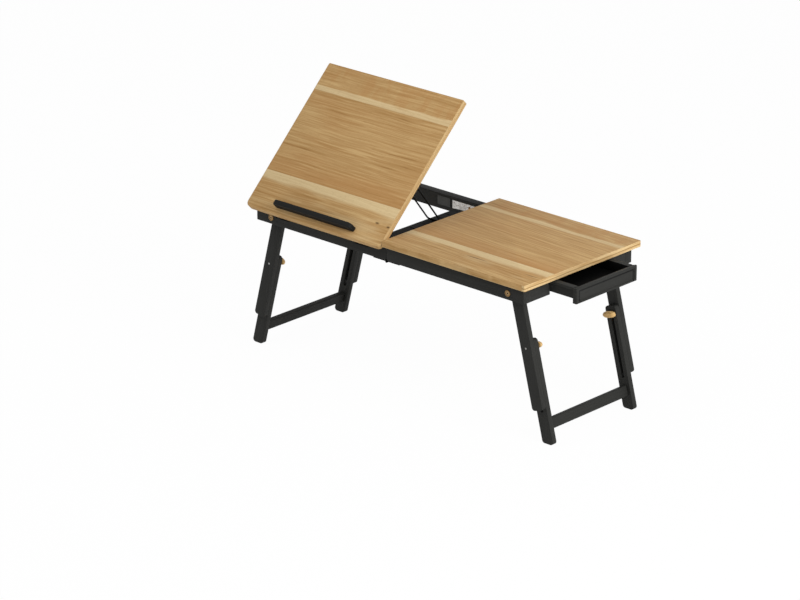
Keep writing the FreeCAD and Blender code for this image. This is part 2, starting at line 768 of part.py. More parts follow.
def wire_path():
    """Give the prop's centre line in its own plane, from one ear round to the other."""
    half = value("wire_span / 2")
    ear = value("wire_ear")
    arm = value("prop_arm")
    corners = [Vector(-half - ear, 0, 0), Vector(-half, 0, 0), Vector(-half, arm, 0),
               Vector(half, arm, 0), Vector(half, 0, 0), Vector(half + ear, 0, 0)]
    points = [corners[0]]
    for before, corner, after in zip(corners, corners[1:], corners[2:]):
        points.append(corner + (before - corner).normalize() * value("wire_bend"))
        points.append(corner + (after - corner).normalize() * value("wire_bend"))
    points.append(corners[-1])
    return Part.makePolygon(points)


def wire_prop():
    """The bent wire that holds the tilting top up, ears in its clips and foot on the rack."""
    path = wire_path()
    start = path.Vertexes[0].Point
    section = Part.Wire(Part.Circle(start, X_AXIS, value("wire_thick") / 2).toShape())
    item = part("Part::Feature", "wire_prop")
    item.Shape = path.makePipeShell([section], True, False, MITRED)
    tilt = value("tilt_angle")
    ears = Placement(Vector(0, value(HINGE_Y), value(HINGE_Z)), Rotation(X_AXIS, tilt)).multVec(
        Vector(-value("prop_middle"), value("prop_reach"), -value("prop_drop")))
    item.Placement = Placement(ears, Rotation(X_AXIS, -value("prop_angle")))


def prop_rack():
    """A pressed strip between the rails of the tilting half, with a ridge notched for the prop."""
    reach = f"({RAIL_INNER} - plate_thick)"
    low, high = "0", "rack_rise"
    step, ramp = "rack_step", "(rack_step + rack_ramp)"
    tab, wall = "rack_rise - rack_tab", f"({reach} - rack_thick)"
    under = [(f"-{reach}", tab), (f"-{wall}", tab), (f"-{wall}", high), (f"-{ramp}", high),
             (f"-{step}", low), (step, low), (ramp, high), (wall, high), (wall, tab), (reach, tab)]
    over = [(reach, f"{high} + rack_thick"), (ramp, f"{high} + rack_thick"),
            (step, f"{low} + rack_thick"), (f"-{step}", f"{low} + rack_thick"),
            (f"-{ramp}", f"{high} + rack_thick"), (f"-{reach}", f"{high} + rack_thick")]
    body = prism("prop_rack", "YZ_Plane", under + over, "rack_wide")
    for end in (FRONT, REAR):
        cut_through(body, "XY_Plane", draw_outline,
                    rectangle("-rack_wide / 2", f"{end} * rack_arm_start",
                              "rack_wide / 2 - rack_arm_wide", f"{end} * {reach}"))
    sketch = sketch_on(body, "XY_Plane", lift="rack_thick")
    draw_outline(sketch, rectangle("-ridge_wide / 2", "-ridge_near", "ridge_wide / 2", "ridge_far"))
    pad(body, sketch, "ridge_tall")
    sketch = sketch_on(body, "XY_Plane", lift="rack_thick + ridge_tall")
    for number in range(NOTCHES):
        middle = f"(notch_first + {number} * notch_pitch)"
        draw_outline(sketch, rectangle("-ridge_wide / 2", f"{middle} - notch_wide / 2",
                                       "ridge_wide / 2", f"{middle} + notch_wide / 2"))
    cut(body, sketch, "notch_deep")
    place(body, x="-prop_middle", z=f"{UNDERSIDE} - rack_drop")


def rail_plates():
    """Flat steel plates on the rails beside the fold that carry the rack."""
    plates = []
    for end in (FRONT, REAR):
        inner = f"{end} * ({RAIL_INNER} - plate_thick / 2) - plate_thick / 2"
        plates.append(cuboid(f"{END_NAMES[end]}_rail_plate", "plate_long", "plate_thick", "plate_tall",
                             x="-plate_near - plate_long", y=inner, z=f"{RAIL_BOTTOM} + plate_rise"))
    group("rail_plates", plates)


# ---------------------------------------------------------------- drawer

def drawer_front():
    """The drawer's front, rebated behind its top and with a shallow field sunk into its face."""
    corners = rectangle("-front_wide / 2", "0", "front_wide / 2", "front_tall")
    body = prism("drawer_front", "YZ_Plane", corners, "front_thick", centred=False)
    face = value("front_thick") - LEVEL
    soften(body, "Chamfer", "rail_edge", lambda edge: edge.CenterOfMass.x > face)
    cut_through(body, "XZ_Plane", draw_outline,
                rectangle("0", "front_tall - rebate_tall", "rebate_deep", "front_tall"))
    sketch = sketch_on(body, "YZ_Plane", lift="front_thick")
    draw_outline(sketch, rectangle("-front_wide / 2 + field_side", "field_top",
                                   "front_wide / 2 - field_side", "front_tall - field_top"))
    cut(body, sketch, "field_deep")
    place(body, x=FRONT_BACK, z=f"{RAIL_BOTTOM} + front_rise")


def drawer_side(end):
    """A drawer side with the flange that hangs it in its runner."""
    corners = [(f"{end} * ({DRAWER_HALF} - drawer_side)", "0"), (f"{end} * {DRAWER_HALF}", "0"),
               (f"{end} * {DRAWER_HALF}", "drawer_tall - flange_tall"),
               (f"{end} * ({DRAWER_HALF} + flange_wide)", "drawer_tall - flange_tall"),
               (f"{end} * ({DRAWER_HALF} + flange_wide)", "drawer_tall"),
               (f"{end} * ({DRAWER_HALF} - drawer_side)", "drawer_tall")]
    body = prism(f"drawer_{END_NAMES[end]}_side", "YZ_Plane", corners, "drawer_deep", centred=False)
    place(body, x=f"{FRONT_BACK} - drawer_deep", z=DRAWER_BOTTOM)


def drawer_inside(label, length, height, x, z):
    """A board that fits between the drawer's sides."""
    half = f"({DRAWER_HALF} - drawer_side)"
    body = prism(label, "YZ_Plane", rectangle(f"-{half}", "0", half, height), length, centred=False)
    place(body, x=x, z=z)


def drawer_runner(end):
    """A rebated strip under the fixed top that carries a drawer flange."""
    outer = f"({GROOVE_HALF} + runner_wall)"
    seat = f"({RUNNER_SEAT} - {UNDERSIDE})"
    foot = f"({seat} - runner_ledge)"
    corners = [(f"{end} * {outer}", foot), (f"{end} * opening_wide / 2", foot),
               (f"{end} * opening_wide / 2", seat), (f"{end} * {GROOVE_HALF}", seat),
               (f"{end} * {GROOVE_HALF}", "0"), (f"{end} * {outer}", "0")]
    body = prism(f"{END_NAMES[end]}_drawer_runner", "YZ_Plane", corners,
                 "runner_long", centred=False)
    place(body, x=f"{BOARD_INNER} - runner_long", z=UNDERSIDE)


def drawer_stop():
    """A strip under the fixed top that catches the drawer's back when it is pulled out."""
    item = part("Part::Box", "drawer_stop")
    bind(item, Length="stop_deep", Width="stop_wide", Height="stop_tall")
    place(item, x="rail_length - stop_inset", y="-stop_wide / 2", z=f"{UNDERSIDE} - stop_tall")


def build():
    """Make every sub-part."""
    fixed_top()
    tilt_top()
    for side in (RIGHT, LEFT):
        for end in (FRONT, REAR):
            rail(side, end)
            upper_leg(side, end)
            lower_leg(side, end)
            knob(side, end)
            fold_leaf(side, end)
        rung(side)
        pivot_bolts(side)
        pivot_washers(side)
        pivot_nuts(side)
        height_bolts(side)
        leg_catches(side)
    for end in (FRONT, REAR):
        right_end_board(end)
        drawer_runner(end)
        drawer_side(end)
    left_end_board()
    fold_hinge_pins()
    stop_ledge()
    tilt_rail_leaves()
    tilt_desk_leaves()
    tilt_hinge_pins()
    prop_clips()
    wire_prop()
    prop_rack()
    rail_plates()
    drawer_front()
    drawer_inside("drawer_back", "drawer_back", "drawer_tall",
                  f"{FRONT_BACK} - drawer_deep", DRAWER_BOTTOM)
    drawer_inside("drawer_floor", "drawer_deep - drawer_back", "drawer_floor",
                  f"{FRONT_BACK} - drawer_deep + drawer_back", f"{DRAWER_BOTTOM} + floor_rise")
    drawer_stop()


def check_and_write():
    """Write each sub-part as a STEP file once every object is sound."""
    doc.recompute()
    for item in doc.Objects:
        if {"Invalid", "Error"} & set(item.State):
            raise RuntimeError(f"{item.Label} failed: {item.State}")
    for item in parts:
        if item.Shape.isNull() or not item.Shape.isValid():
            raise RuntimeError(f"{item.Label} has no valid shape")
    os.makedirs("parts", exist_ok=True)
    for item in parts:
        item.Shape.exportStep(os.path.join("parts", item.Label + ".step"))
    print(len(parts), "sub-parts written")


build()
check_and_write()
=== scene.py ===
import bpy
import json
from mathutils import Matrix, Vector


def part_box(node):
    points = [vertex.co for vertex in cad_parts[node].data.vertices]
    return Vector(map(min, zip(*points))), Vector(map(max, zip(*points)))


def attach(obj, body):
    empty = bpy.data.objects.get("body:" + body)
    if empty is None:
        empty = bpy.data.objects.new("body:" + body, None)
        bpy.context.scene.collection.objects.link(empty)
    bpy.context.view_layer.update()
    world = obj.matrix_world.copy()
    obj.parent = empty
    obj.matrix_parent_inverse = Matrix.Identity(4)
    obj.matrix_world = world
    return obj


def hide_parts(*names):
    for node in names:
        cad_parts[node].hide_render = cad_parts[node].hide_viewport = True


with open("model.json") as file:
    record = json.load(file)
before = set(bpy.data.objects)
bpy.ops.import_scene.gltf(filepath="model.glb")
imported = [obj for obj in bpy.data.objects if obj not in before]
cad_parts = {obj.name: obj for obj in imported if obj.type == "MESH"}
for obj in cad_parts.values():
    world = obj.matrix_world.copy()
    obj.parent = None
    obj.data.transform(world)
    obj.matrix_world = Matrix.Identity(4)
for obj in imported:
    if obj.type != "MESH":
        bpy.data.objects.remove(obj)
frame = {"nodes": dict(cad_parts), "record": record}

"""Dress the folding bed desk: oiled oak tops, a black stained frame and small hardware.

X runs along the desk, with the fold at X 0, Y runs from front to rear and Z is up.
"""

import json
import logging
from dataclasses import dataclass
from enum import Enum
from math import copysign, cos, pi, radians, sin, tau
from typing import Callable, ClassVar, Iterable, Sequence

import bmesh
import bpy
from bpy.types import Material, Mesh, NodeSocket, NodeTree, Object
from mathutils import Matrix, Vector

LOG = logging.getLogger("bed_desk")
MM = 0.001
DOWN = (0.0, 0.0, -1.0)

# The tilting top stands at this angle about a line along X through the hinge. The pivot is the
# X and Z of a leg's bolt, and a half runs from the fold to the far end of its top.
TILT = 44.6
HINGE = (0.0, -159 * MM, 311 * MM)
PIVOT = (310.5 * MM, 294 * MM)
HALF_LENGTH = 363 * MM

Flat = tuple[float, float]
Point = tuple[float, float, float]
Four = tuple[float, float, float, float]

WHITE: Four = (1.0, 1.0, 1.0, 1.0)


def paint(code: str) -> Four:
    """Turn a hexadecimal display colour into linear light."""
    channels = [int(code[start:start + 2], 16) / 255 for start in (1, 3, 5)]
    linear = [c / 12.92 if c <= 0.04045 else ((c + 0.055) / 1.055) ** 2.4 for c in channels]
    return (*linear, 1.0)


# ---- nodes and their maths

def math_method(operation: str, swapped: bool = False) -> Callable[..., "Wire"]:
    """Make a method of Wire that adds a Math node.

    Args:
        operation: what the node does.
        swapped: whether the wire comes after the other value.

    Returns:
        The method.
    """
    def method(wire: "Wire", *others: object) -> "Wire":
        values = (*others, wire) if swapped else (wire, *others)
        return wire.nodes.add("ShaderNodeMath", {"operation": operation},
                              dict(enumerate(values)))

    method.__doc__ = f"Give the result of a Math node set to {operation}."
    return method


class Wire:
    """A node output that can be used in Python expressions."""

    __add__ = __radd__ = math_method("ADD")
    __sub__ = math_method("SUBTRACT")
    __rsub__ = math_method("SUBTRACT", swapped=True)
    __mul__ = __rmul__ = math_method("MULTIPLY")
    __truediv__ = math_method("DIVIDE")
    __pow__ = math_method("POWER")
    __gt__ = math_method("GREATER_THAN")
    __lt__ = math_method("LESS_THAN")
    __abs__ = math_method("ABSOLUTE")
    least = math_method("MINIMUM")
    ping = math_method("PINGPONG")
    root = math_method("SQRT")

    def __init__(self, nodes: "Nodes", socket: NodeSocket) -> None:
        """Keep the node tree and the output socket."""
        self.nodes = nodes
        self.socket = socket

    def other(self, output: object) -> "Wire":
        """Give another output of the same node, by its name or number."""
        return Wire(self.nodes, self.socket.node.outputs[output])

    def clamp(self) -> "Wire":
        """Hold between 0 and 1."""
        return self.nodes.add("ShaderNodeClamp", {}, {0: self})

    def spread(self, low: float, high: float) -> "Wire":
        """Map a range of values smoothly to 0 to 1."""
        return self.nodes.add("ShaderNodeMapRange", {"interpolation_type": "SMOOTHSTEP"},
                              {0: self, 1: low, 2: high, 3: 0.0, 4: 1.0})


class Nodes:
    """A node tree, with one way to add any node."""

    def __init__(self, tree: NodeTree) -> None:
        """Keep the tree."""
        self.tree = tree

    def add(self, kind: str, settings: dict[str, object] | None = None,
            inputs: dict[object, object] | None = None, output: object = 0) -> Wire:
        """Add a node.

        Args:
            kind: the node's type.
            settings: properties set before its sockets, and a ramp's stops.
            inputs: values or wires by socket name or number.
            output: the output to give back.

        Returns:
            The chosen output as a wire.
        """
        node = self.tree.nodes.new(kind)
        for key, setting in (settings or {}).items():
            if key == "stops":
                elements = node.color_ramp.elements
                while len(elements) < len(setting):
                    elements.new(0.5)
                for element, (position, code) in zip(elements, setting):
                    element.position = position
                    element.color = paint(code)
            else:
                setattr(node, key, setting)
        for key, value in (inputs or {}).items():
            self.feed(node.inputs[key], value)
        return Wire(self, node.outputs[output])

    def feed(self, socket: NodeSocket, value: object) -> None:
        """Link a wire to a socket, or set its value, where a colour may be a # code."""
        if isinstance(value, Wire):
            self.tree.links.new(value.socket, socket)
        elif isinstance(value, str) and value.startswith("#"):
            socket.default_value = paint(value)
        else:
            socket.default_value = value

    def end(self, kind: str, value: Wire) -> None:
        """Add an output node that takes a wire."""
        self.feed(self.tree.nodes.new(kind).inputs[0], value)

    def seen(self) -> Wire:
        """Tell rays that show a thing, straight or by a mirror or glass, from those of light."""
        path = self.add("ShaderNodeLightPath", output="Is Camera Ray")
        return (path + path.other("Is Glossy Ray") + path.other("Is Transmission Ray")).clamp()


class Graph(Nodes):
    """A material's node tree."""

    def __init__(self, name: str) -> None:
        """Start a material with a Principled shader."""
        self.material = bpy.data.materials.new(name)
        self.material.use_nodes = True
        super().__init__(self.material.node_tree)
        self.shader = self.tree.nodes["Principled BSDF"]

    def set(self, **values: object) -> Material:
        """Feed sockets of the shader, with underscores for spaces, and give the material."""
        for name, value in values.items():
            self.feed(self.shader.inputs[name.replace("_", " ")], value)
        return self.material

    def place(self) -> Wire:
        """Give the object coordinates."""
        return self.add("ShaderNodeTexCoord", output="Object")

    def split(self, vector: Wire) -> tuple[Wire, Wire, Wire]:
        """Give the X, Y and Z of a vector."""
        x = self.add("ShaderNodeSeparateXYZ", {}, {0: vector})
        return x, x.other(1), x.other(2)

    def noise(self, place: Wire | tuple, scale: float = 1.0, detail: float = 2.0,
              roughness: float = 0.5, distortion: float = 0.0) -> Wire:
        """Give a noise value over a vector, or over three values that make one."""
        if isinstance(place, tuple):
            place = self.add("ShaderNodeCombineXYZ", {}, dict(enumerate(place)))
        return self.add("ShaderNodeTexNoise", {"noise_dimensions": "3D"},
                        {"Vector": place, "Scale": scale, "Detail": detail,
                         "Roughness": roughness, "Distortion": distortion})

    def ramp(self, factor: Wire, *stops: tuple[float, str]) -> Wire:
        """Give a colour along a ramp of places and # codes."""
        return self.add("ShaderNodeValToRGB", {"stops": stops}, {0: factor})

    def blend(self, factor: object, first: object, second: object) -> Wire:
        """Mix two colours."""
        return self.add("ShaderNodeMix", {"data_type": "RGBA"},
                        {0: factor, 6: first, 7: second}, 2)

    def bump(self, height: Wire, strength: float, distance: float) -> Wire:
        """Give a normal from a height."""
        return self.add("ShaderNodeBump", {}, {"Height": height, "Strength": strength,
                                               "Distance": distance})


# ---- finishes

class Finish(Enum):
    """The finishes that pieces and nodes are dressed in."""

    LEVEL_TOP = "oak_level_top"
    TILT_TOP = "oak_tilting_top"
    BLACK_LONG = "black_stain_along"
    BLACK_CROSS = "black_stain_across"
    BLACK_UPRIGHT = "black_stain_upright"
    DRAWER_BLACK = "black_stain_drawer"
    KNOB = "knob_oak"
    CAP = "cap_bronze"
    SCREW = "screw_bronze"
    STEEL = "bright_steel"
    PLATE = "galvanized_steel"
    STUD = "dull_steel"
    DRAWER_FACE = "black_stain_drawer_face"
    BLACK_METAL = "black_enamel"
    MAGNET = "grey_magnet"
    PLASTIC = "black_plastic"


@dataclass(frozen=True)
class OakBoards:
    """Oiled oak boards glued edge to edge, with the grain along the desk.

    The sizes are in the frame of the level board, which a Mapping node gives by undoing the
    turn about the hinge. Two pale strips of sapwood run beside the glue joints. A knot is its
    place along and across, its half length and its half width. An end far outside the board
    has no edging.
    """

    finish: Finish
    front: float
    underside: float
    ends: Flat
    edge: str
    hinge: Point = (0.0, 0.0, 0.0)
    tilt: float = 0.0
    seed: float = 0.0
    knots: tuple[Four, ...] = ()
    joints: Flat = (86.5 * MM, 277.5 * MM)
    sap: Flat = (23 * MM, 15 * MM)
    thick: float = 12 * MM
    edging: float = 7 * MM
    darkest: str = "#7E5B33"
    dark: str = "#A8814E"
    body: str = "#B79260"
    light: str = "#C8A672"
    pale: str = "#D9C295"
    warm: str = "#B07F4B"
    # Colour of the painted highlight along the front edge's bottom arris.
    arris_highlight: str = "#D6BA8A"
    seam: str = "#86622F"
    knot: str = "#4E3820"
    glue_shade: float = 0.8

    def sapwood(self, graph: Graph, x: Wire, across: Wire) -> Wire:
        """Give how pale the wood is, sharply bounded at the joints and fading away from them.

        Args:
            graph: the material's graph.
            x: the place along the grain.
            across: the distance from the front edge.

        Returns:
            The paleness from 0 to 1.
        """
        near, far = self.joints
        lower, upper = near - self.sap[0], far + self.sap[1]
        wave = (graph.noise((x * 6.0 + self.seed, across * 6.0, 0.0)) - 0.5) * 0.03
        fibre = (graph.noise((x * 9.0, across * 300.0, self.seed)) - 0.5) * 0.012
        blur = across + wave + fibre
        front = (across < near) * blur.spread(lower - 5 * MM, lower + 7 * MM)
        rear = (across > far) * (1.0 - blur.spread(upper - 2 * MM, upper + 2 * MM))
        patch = graph.noise((x * 7.0 + self.seed * 3.0, across * 45.0, 2.0))
        lip = (across < lower) * patch.spread(0.50, 0.70) * 0.35
        return (front * 0.95 + rear * 0.85 + lip).clamp()

    def grain(self, graph: Graph, x: Wire, across: Wire, z: Wire) -> tuple[Wire, Wire]:
        """Make the growth lines and the fine fibres.

        Args:
            graph: the material's graph.
            x: the place along the grain.
            across: the place across the grain.
            z: the place through the thickness.

        Returns:
            The tone of the wood from 0 to 1, and the fibres from 0 to 1.
        """
        board = (across > self.joints[0]) * 5.3 + (across > self.joints[1]) * 9.1 + self.seed
        sway = graph.noise((x * 4.5 + board, across * 13.0, board), detail=1.0) - 0.5
        path = across + sway * 0.011 + ((x - self.ends[0]) ** 2.0) * 0.02
        broad = graph.noise((x * 2.0 + board, path * 40.0, z * 60.0 + board))
        lines = graph.noise((x * 7.0 + board, path * 330.0, z * 210.0), detail=2.0,
                            roughness=0.6)
        rings = (path * 190.0 + broad * 3.0).ping(1.0)
        shown = graph.noise((x * 9.0 + board, path * 70.0, 4.0)).spread(0.46, 0.66)
        fibres = graph.noise((x * 26.0 + board, across * 1500.0, z * 900.0), detail=2.0)
        streak = graph.noise((x * 4.5 + board, path * 130.0, 7.0), detail=1.0) - 0.5
        crisp = 1.0 - abs(streak).spread(0.012, 0.06)
        tone = (broad * 0.42 + lines * 0.85 + (rings - 0.5) * shown * 0.42 + fibres * 0.2
                + crisp * 0.15 - 0.24)
        return tone.clamp(), fibres

    def warmth(self, graph: Graph, wood: Wire, x: Wire, across: Wire) -> Wire:
        """Redden the heartwood beside the front joint and in the figure of the rear board."""
        near, far = self.joints
        heart = (across > near) * (1.0 - across.spread(near + 8 * MM, near + 60 * MM)) * 0.38
        figure = graph.noise((x * 42.0 + self.seed, across * 24.0, 1.0), detail=2.0,
                             distortion=0.6)
        rear = (across > far) * figure.spread(0.40, 0.66) * 0.34
        cloud = graph.noise((x * 5.0, across * 22.0, self.seed + 3.0)).spread(0.5, 0.75)
        return graph.blend((heart + rear + cloud * 0.22).clamp(), wood, self.warm)

    def add_knots(self, graph: Graph, wood: Wire, x: Wire, across: Wire) -> Wire:
        """Lay the dark knots and streaks over the wood."""
        for along, knot_across, length, width in self.knots:
            ragged = graph.noise((x * 60.0, across * 500.0, self.seed)) * 0.8
            reach = (((x - along) / length) ** 2.0
                     + ((across - knot_across) / width) ** 2.0).root()
            shown = 1.0 - (reach + ragged).spread(0.60, 1.45)
            wood = graph.blend(shown * 0.85, wood, self.knot)
        return wood

    def end_grain(self, graph: Graph, wood: Wire, x: Wire, across: Wire, z: Wire) -> Wire:
        """Lay the pale edging with its glue line over the ends of the board."""
        low, high = self.ends
        height = z - self.underside
        side = height < self.thick - 0.6 * MM
        corner = (x < low + self.edging) + (x > high - self.edging)
        end = (x < low + 1 * MM) + (x > high - 1 * MM) + side * corner
        streak = graph.noise((x * 60.0, across * 16.0 + self.seed, height * 250.0), detail=1.0)
        edging = graph.blend(streak.spread(0.35, 0.75), self.edge, self.body)
        drift = (graph.noise((0.0, across * 7.0, self.seed)) - 0.5) * 0.003
        glue = 1.0 - abs(height + drift - self.thick * 0.47).spread(0.4 * MM, 1.1 * MM)
        edging = graph.blend(glue * self.glue_shade, edging, self.seam)
        wood = graph.blend(end.clamp(), wood, edging)
        # Painted highlight: a pale line along the front edge's bottom arris.
        lower = (height < 0.9 * MM) * (across < 1 * MM)
        return graph.blend(lower * 0.7, wood, self.arris_highlight)

    def build(self) -> Material:
        """Build the material."""
        graph = Graph(self.finish.value)
        place = graph.add("ShaderNodeMapping", {"vector_type": "TEXTURE"},
                          {"Vector": graph.place(), "Location": self.hinge,
                           "Rotation": (radians(self.tilt), 0.0, 0.0)})
        x, y, z = graph.split(place)
        across = y - self.front
        tone, fibres = self.grain(graph, x, across, z)
        wood = graph.ramp(tone, (0.08, self.darkest), (0.30, self.dark), (0.54, self.body),
                          (0.82, self.light))
        wood = self.warmth(graph, wood, x, across)
        wood = graph.blend(self.sapwood(graph, x, across) * (tone * 0.5 + 0.55), wood, self.pale)
        pores = graph.noise((x * 90.0 + self.seed, across * 2300.0, z * 1500.0), detail=1.0)
        wood = graph.blend(pores.spread(0.60, 0.70) * 0.3, wood, self.darkest)
        for joint in self.joints:
            line = 1.0 - abs(across - joint).spread(0.0, 0.6 * MM)
            wood = graph.blend(line * 0.4, wood, self.seam)
        wood = self.add_knots(graph, wood, x, across)
        return graph.set(
            Base_Color=self.end_grain(graph, wood, x, across, z), Roughness=fibres * 0.2 + 0.46,
            Normal=graph.bump(fibres * 0.5 + tone * 0.4 - pores * 0.3, 0.16, 0.4 * MM),
            Specular_IOR_Level=0.10)


@dataclass(frozen=True)
class BlackStain:
    """Black stain and satin lacquer over wood, with the grain just showing.

    The lining is the shade inside the drawer, between two planes along Y, and the groove is a
    cut line that runs round the drawer's face or under its flange: where it starts along X, its
    half width along Y, and its lowest and highest Z. Faces above the top are left darker, as
    they lie under the boards.
    """

    finish: Finish
    grain: Point = (5.0, 320.0, 320.0)
    colour: str = "#272725"
    raised: str = "#343432"
    rubbed: str = "#45433F"
    # The near-black colour of all the painted shade below.
    dark_and_shade: str = "#060606"
    shade_inside: float = 0.0
    shade_inside_start: float = 0.0
    shade_line: Four | None = None
    shade_line_wide: float = 1.7 * MM
    top: float = 0.0

    def build(self) -> Material:
        """Build the material."""
        graph = Graph(self.finish.value)
        place = graph.place()
        x, y, z = graph.split(place)
        along, across, up = self.grain
        grain = graph.noise((x * along, y * across, z * up), detail=3.0, roughness=0.6)
        pores = graph.noise((x * along * 7.0, y * across * 5.0, z * up * 5.0), detail=1.0)
        cloud = graph.noise(place, 11.0)
        mark = graph.noise(place, 38.0, 4.0, 0.7).spread(0.70, 0.80)
        colour = graph.blend((grain * 0.8 + cloud * 0.5 - 0.25).clamp(), self.colour, self.raised)
        colour = graph.blend(mark * 0.25, colour, self.rubbed)
        shades = []
        # Painted shade on faces above the top height, for the shade under the boards.
        if self.top:
            shades.append((z > self.top) * 0.6)
        # Painted shade inside the drawer, between two planes along Y and where X is below the
        # start.
        if self.shade_inside:
            shades.append((abs(y) < self.shade_inside) * (x < self.shade_inside_start))
        # Painted dark line round a rectangle: the shade in the face's unmodelled groove, and the
        # shadow under the sides' flange.
        if self.shade_line:
            start, half, low, high = self.shade_line
            inward = (half - abs(y)).least(z - low).least(high - z)
            line = 1.0 - abs(inward).spread(self.shade_line_wide / 2, self.shade_line_wide)
            shades.append(line * (x > start) * 0.9)
        for layer in shades:
            colour = graph.blend(layer, colour, self.dark_and_shade)
        return graph.set(Base_Color=colour, Roughness=grain * 0.2 + 0.44,
                         Normal=graph.bump(grain - pores * 0.6, 0.18, 0.3 * MM),
                         Specular_IOR_Level=0.07)


@dataclass(frozen=True)
class Metal:
    """A metal or enamel with faint brushing and cloudy roughness.

    The tip is the distance along Y beyond which a stud is worn bright.
    """

    finish: Finish
    colour: str
    stained: str
    roughness: float
    metallic: float = 1.0
    shine: float = 0.5
    speckle: float = 0.3
    tip: float = 0.0

    def build(self) -> Material:
        """Build the material."""
        graph = Graph(self.finish.value)
        place = graph.place()
        x, y, z = graph.split(place)
        brushed = graph.noise((x * 40.0, y * 700.0, z * 700.0))
        cloud = graph.noise(place, 70.0, 3.0)
        spots = graph.noise(place, 420.0, 2.0).spread(0.56, 0.66)
        colour = graph.blend(cloud.spread(0.3, 0.8) * 0.5, self.colour, self.stained)
        colour = graph.blend(spots * self.speckle, colour, self.stained)
        if self.tip:
            colour = graph.blend(abs(y) > self.tip, self.stained, colour)
        return graph.set(Base_Color=colour, Metallic=self.metallic,
                         Roughness=brushed * 0.2 + cloud * 0.1 + (self.roughness - 0.15),
                         Normal=graph.bump(brushed + spots * 0.4, 0.08, 0.2 * MM),
                         Specular_IOR_Level=self.shine)


@dataclass(frozen=True)
class CapBronze:
    """Browned bronze of the bolt caps, brighter inside the rim and dark in the socket."""

    finish: Finish
    rim: str = "#9A7849"
    face: str = "#AE9066"
    # Dark colour of the painted shade in the socket and its ring, and of the random browning.
    dark_and_shade: str = "#453422"

    def build(self) -> Material:
        """Build the material."""
        graph = Graph(self.finish.value)
        place = graph.place()
        x, _, z = graph.split(place)
        radius = ((abs(x) - PIVOT[0]) ** 2.0 + (z - PIVOT[1]) ** 2.0).root()
        cloud = graph.noise(place, 260.0, 3.0)
        turning = graph.noise((radius * 4000.0, cloud, 0.0))
        colour = graph.blend(radius.spread(3.9 * MM, 4.4 * MM), self.face, self.rim)
        ring = 1.0 - abs(radius - 4.3 * MM).spread(0.2 * MM, 0.6 * MM)
        # Painted shade in the socket and in a ring at the recess wall, then random browning
        # clouds.
        for layer in (1.0 - radius.spread(1.5 * MM, 2.1 * MM), ring * 0.7,
                      cloud.spread(0.45, 0.8) * 0.4):
            colour = graph.blend(layer, colour, self.dark_and_shade)
        return graph.set(Base_Color=colour, Metallic=0.55, Roughness=turning * 0.2 + 0.36,
                         Normal=graph.bump(turning, 0.05, 0.2 * MM), Specular_IOR_Level=0.3)


@dataclass(frozen=True)
class KnobWood:
    """Pale oiled wood of the wing knobs."""

    finish: Finish
    colour: str = "#CFA86C"
    dark: str = "#AD8248"
    light: str = "#DCBC85"

    def build(self) -> Material:
        """Build the material."""
        graph = Graph(self.finish.value)
        place = graph.place()
        x, y, z = graph.split(place)
        sway = graph.noise(place, 90.0) * 0.9
        grain = graph.noise((x * 110.0, y * 900.0 + sway, z * 900.0), detail=3.0)
        broad = graph.noise((x * 40.0, y * 300.0, z * 300.0))
        colour = graph.ramp(grain * 0.6 + broad * 0.5, (0.32, self.dark), (0.52, self.colour),
                            (0.74, self.light))
        return graph.set(Base_Color=colour, Roughness=grain * 0.2 + 0.38,
                         Normal=graph.bump(grain, 0.12, 0.2 * MM), Specular_IOR_Level=0.25)


Palette = dict[Finish, Material]


def make_finishes() -> Palette:
    """Build every finish once."""
    recipes = (
        OakBoards(Finish.LEVEL_TOP, front=-170 * MM, underside=313 * MM,
                  ends=(-1.0, HALF_LENGTH), seed=3.7, edge="#D1B484",
                  knots=((197 * MM, 52 * MM, 34 * MM, 2.2 * MM),
                         (338 * MM, 49 * MM, 22 * MM, 1.6 * MM))),
        OakBoards(Finish.TILT_TOP, front=-11 * MM, underside=2 * MM,
                  ends=(-HALF_LENGTH, -0.5 * MM), hinge=HINGE, tilt=TILT,
                  seed=11.3, edge="#C2A577", glue_shade=0.35,
                  knots=((-36 * MM, 46 * MM, 7 * MM, 3.2 * MM),
                         (-6 * MM, 44.5 * MM, 6 * MM, 3 * MM))),
        # The rails and beams get painted shade on their top faces, under the boards.
        BlackStain(Finish.BLACK_LONG, top=312.3 * MM),
        BlackStain(Finish.BLACK_CROSS, grain=(320.0, 5.0, 320.0), top=312.3 * MM),
        BlackStain(Finish.BLACK_UPRIGHT, grain=(240.0, 320.0, 9.0), colour="#282826",
                   raised="#363634"),
        # The drawer gets painted shade inside and a painted shadow line under its sides' flanges.
        BlackStain(Finish.DRAWER_BLACK, shade_inside=73.6 * MM, shade_inside_start=411 * MM,
                   shade_line=(0.0, 1.0, 0.0, 303.7 * MM)),
        # The drawer's face gets a painted shade line for a groove that is not modelled.
        BlackStain(Finish.DRAWER_FACE, grain=(320.0, 5.0, 320.0),
                   shade_line=(417 * MM, 78.5 * MM, 100 * MM, 304.6 * MM)),
        KnobWood(Finish.KNOB),
        CapBronze(Finish.CAP),
        Metal(Finish.SCREW, "#9C7A4F", "#5E4930", 0.34),
        Metal(Finish.STEEL, "#B9B7B3", "#77756F", 0.34),
        Metal(Finish.PLATE, "#E2E1DE", "#6E6052", 0.30, 0.5, 0.5, speckle=0.85),
        Metal(Finish.STUD, "#A3A19E", "#1E1D1C", 0.5, 0.2, 0.2, speckle=0.1, tip=136.6 * MM),
        Metal(Finish.BLACK_METAL, "#0C0C0B", "#151412", 0.6, 0.0, 0.04),
        Metal(Finish.MAGNET, "#3A3A38", "#4A4A47", 0.5, 0.2, 0.3),
        Metal(Finish.PLASTIC, "#181818", "#222222", 0.46, 0.0, 0.3),
    )
    return {recipe.finish: recipe.build() for recipe in recipes}


# ---- shared making

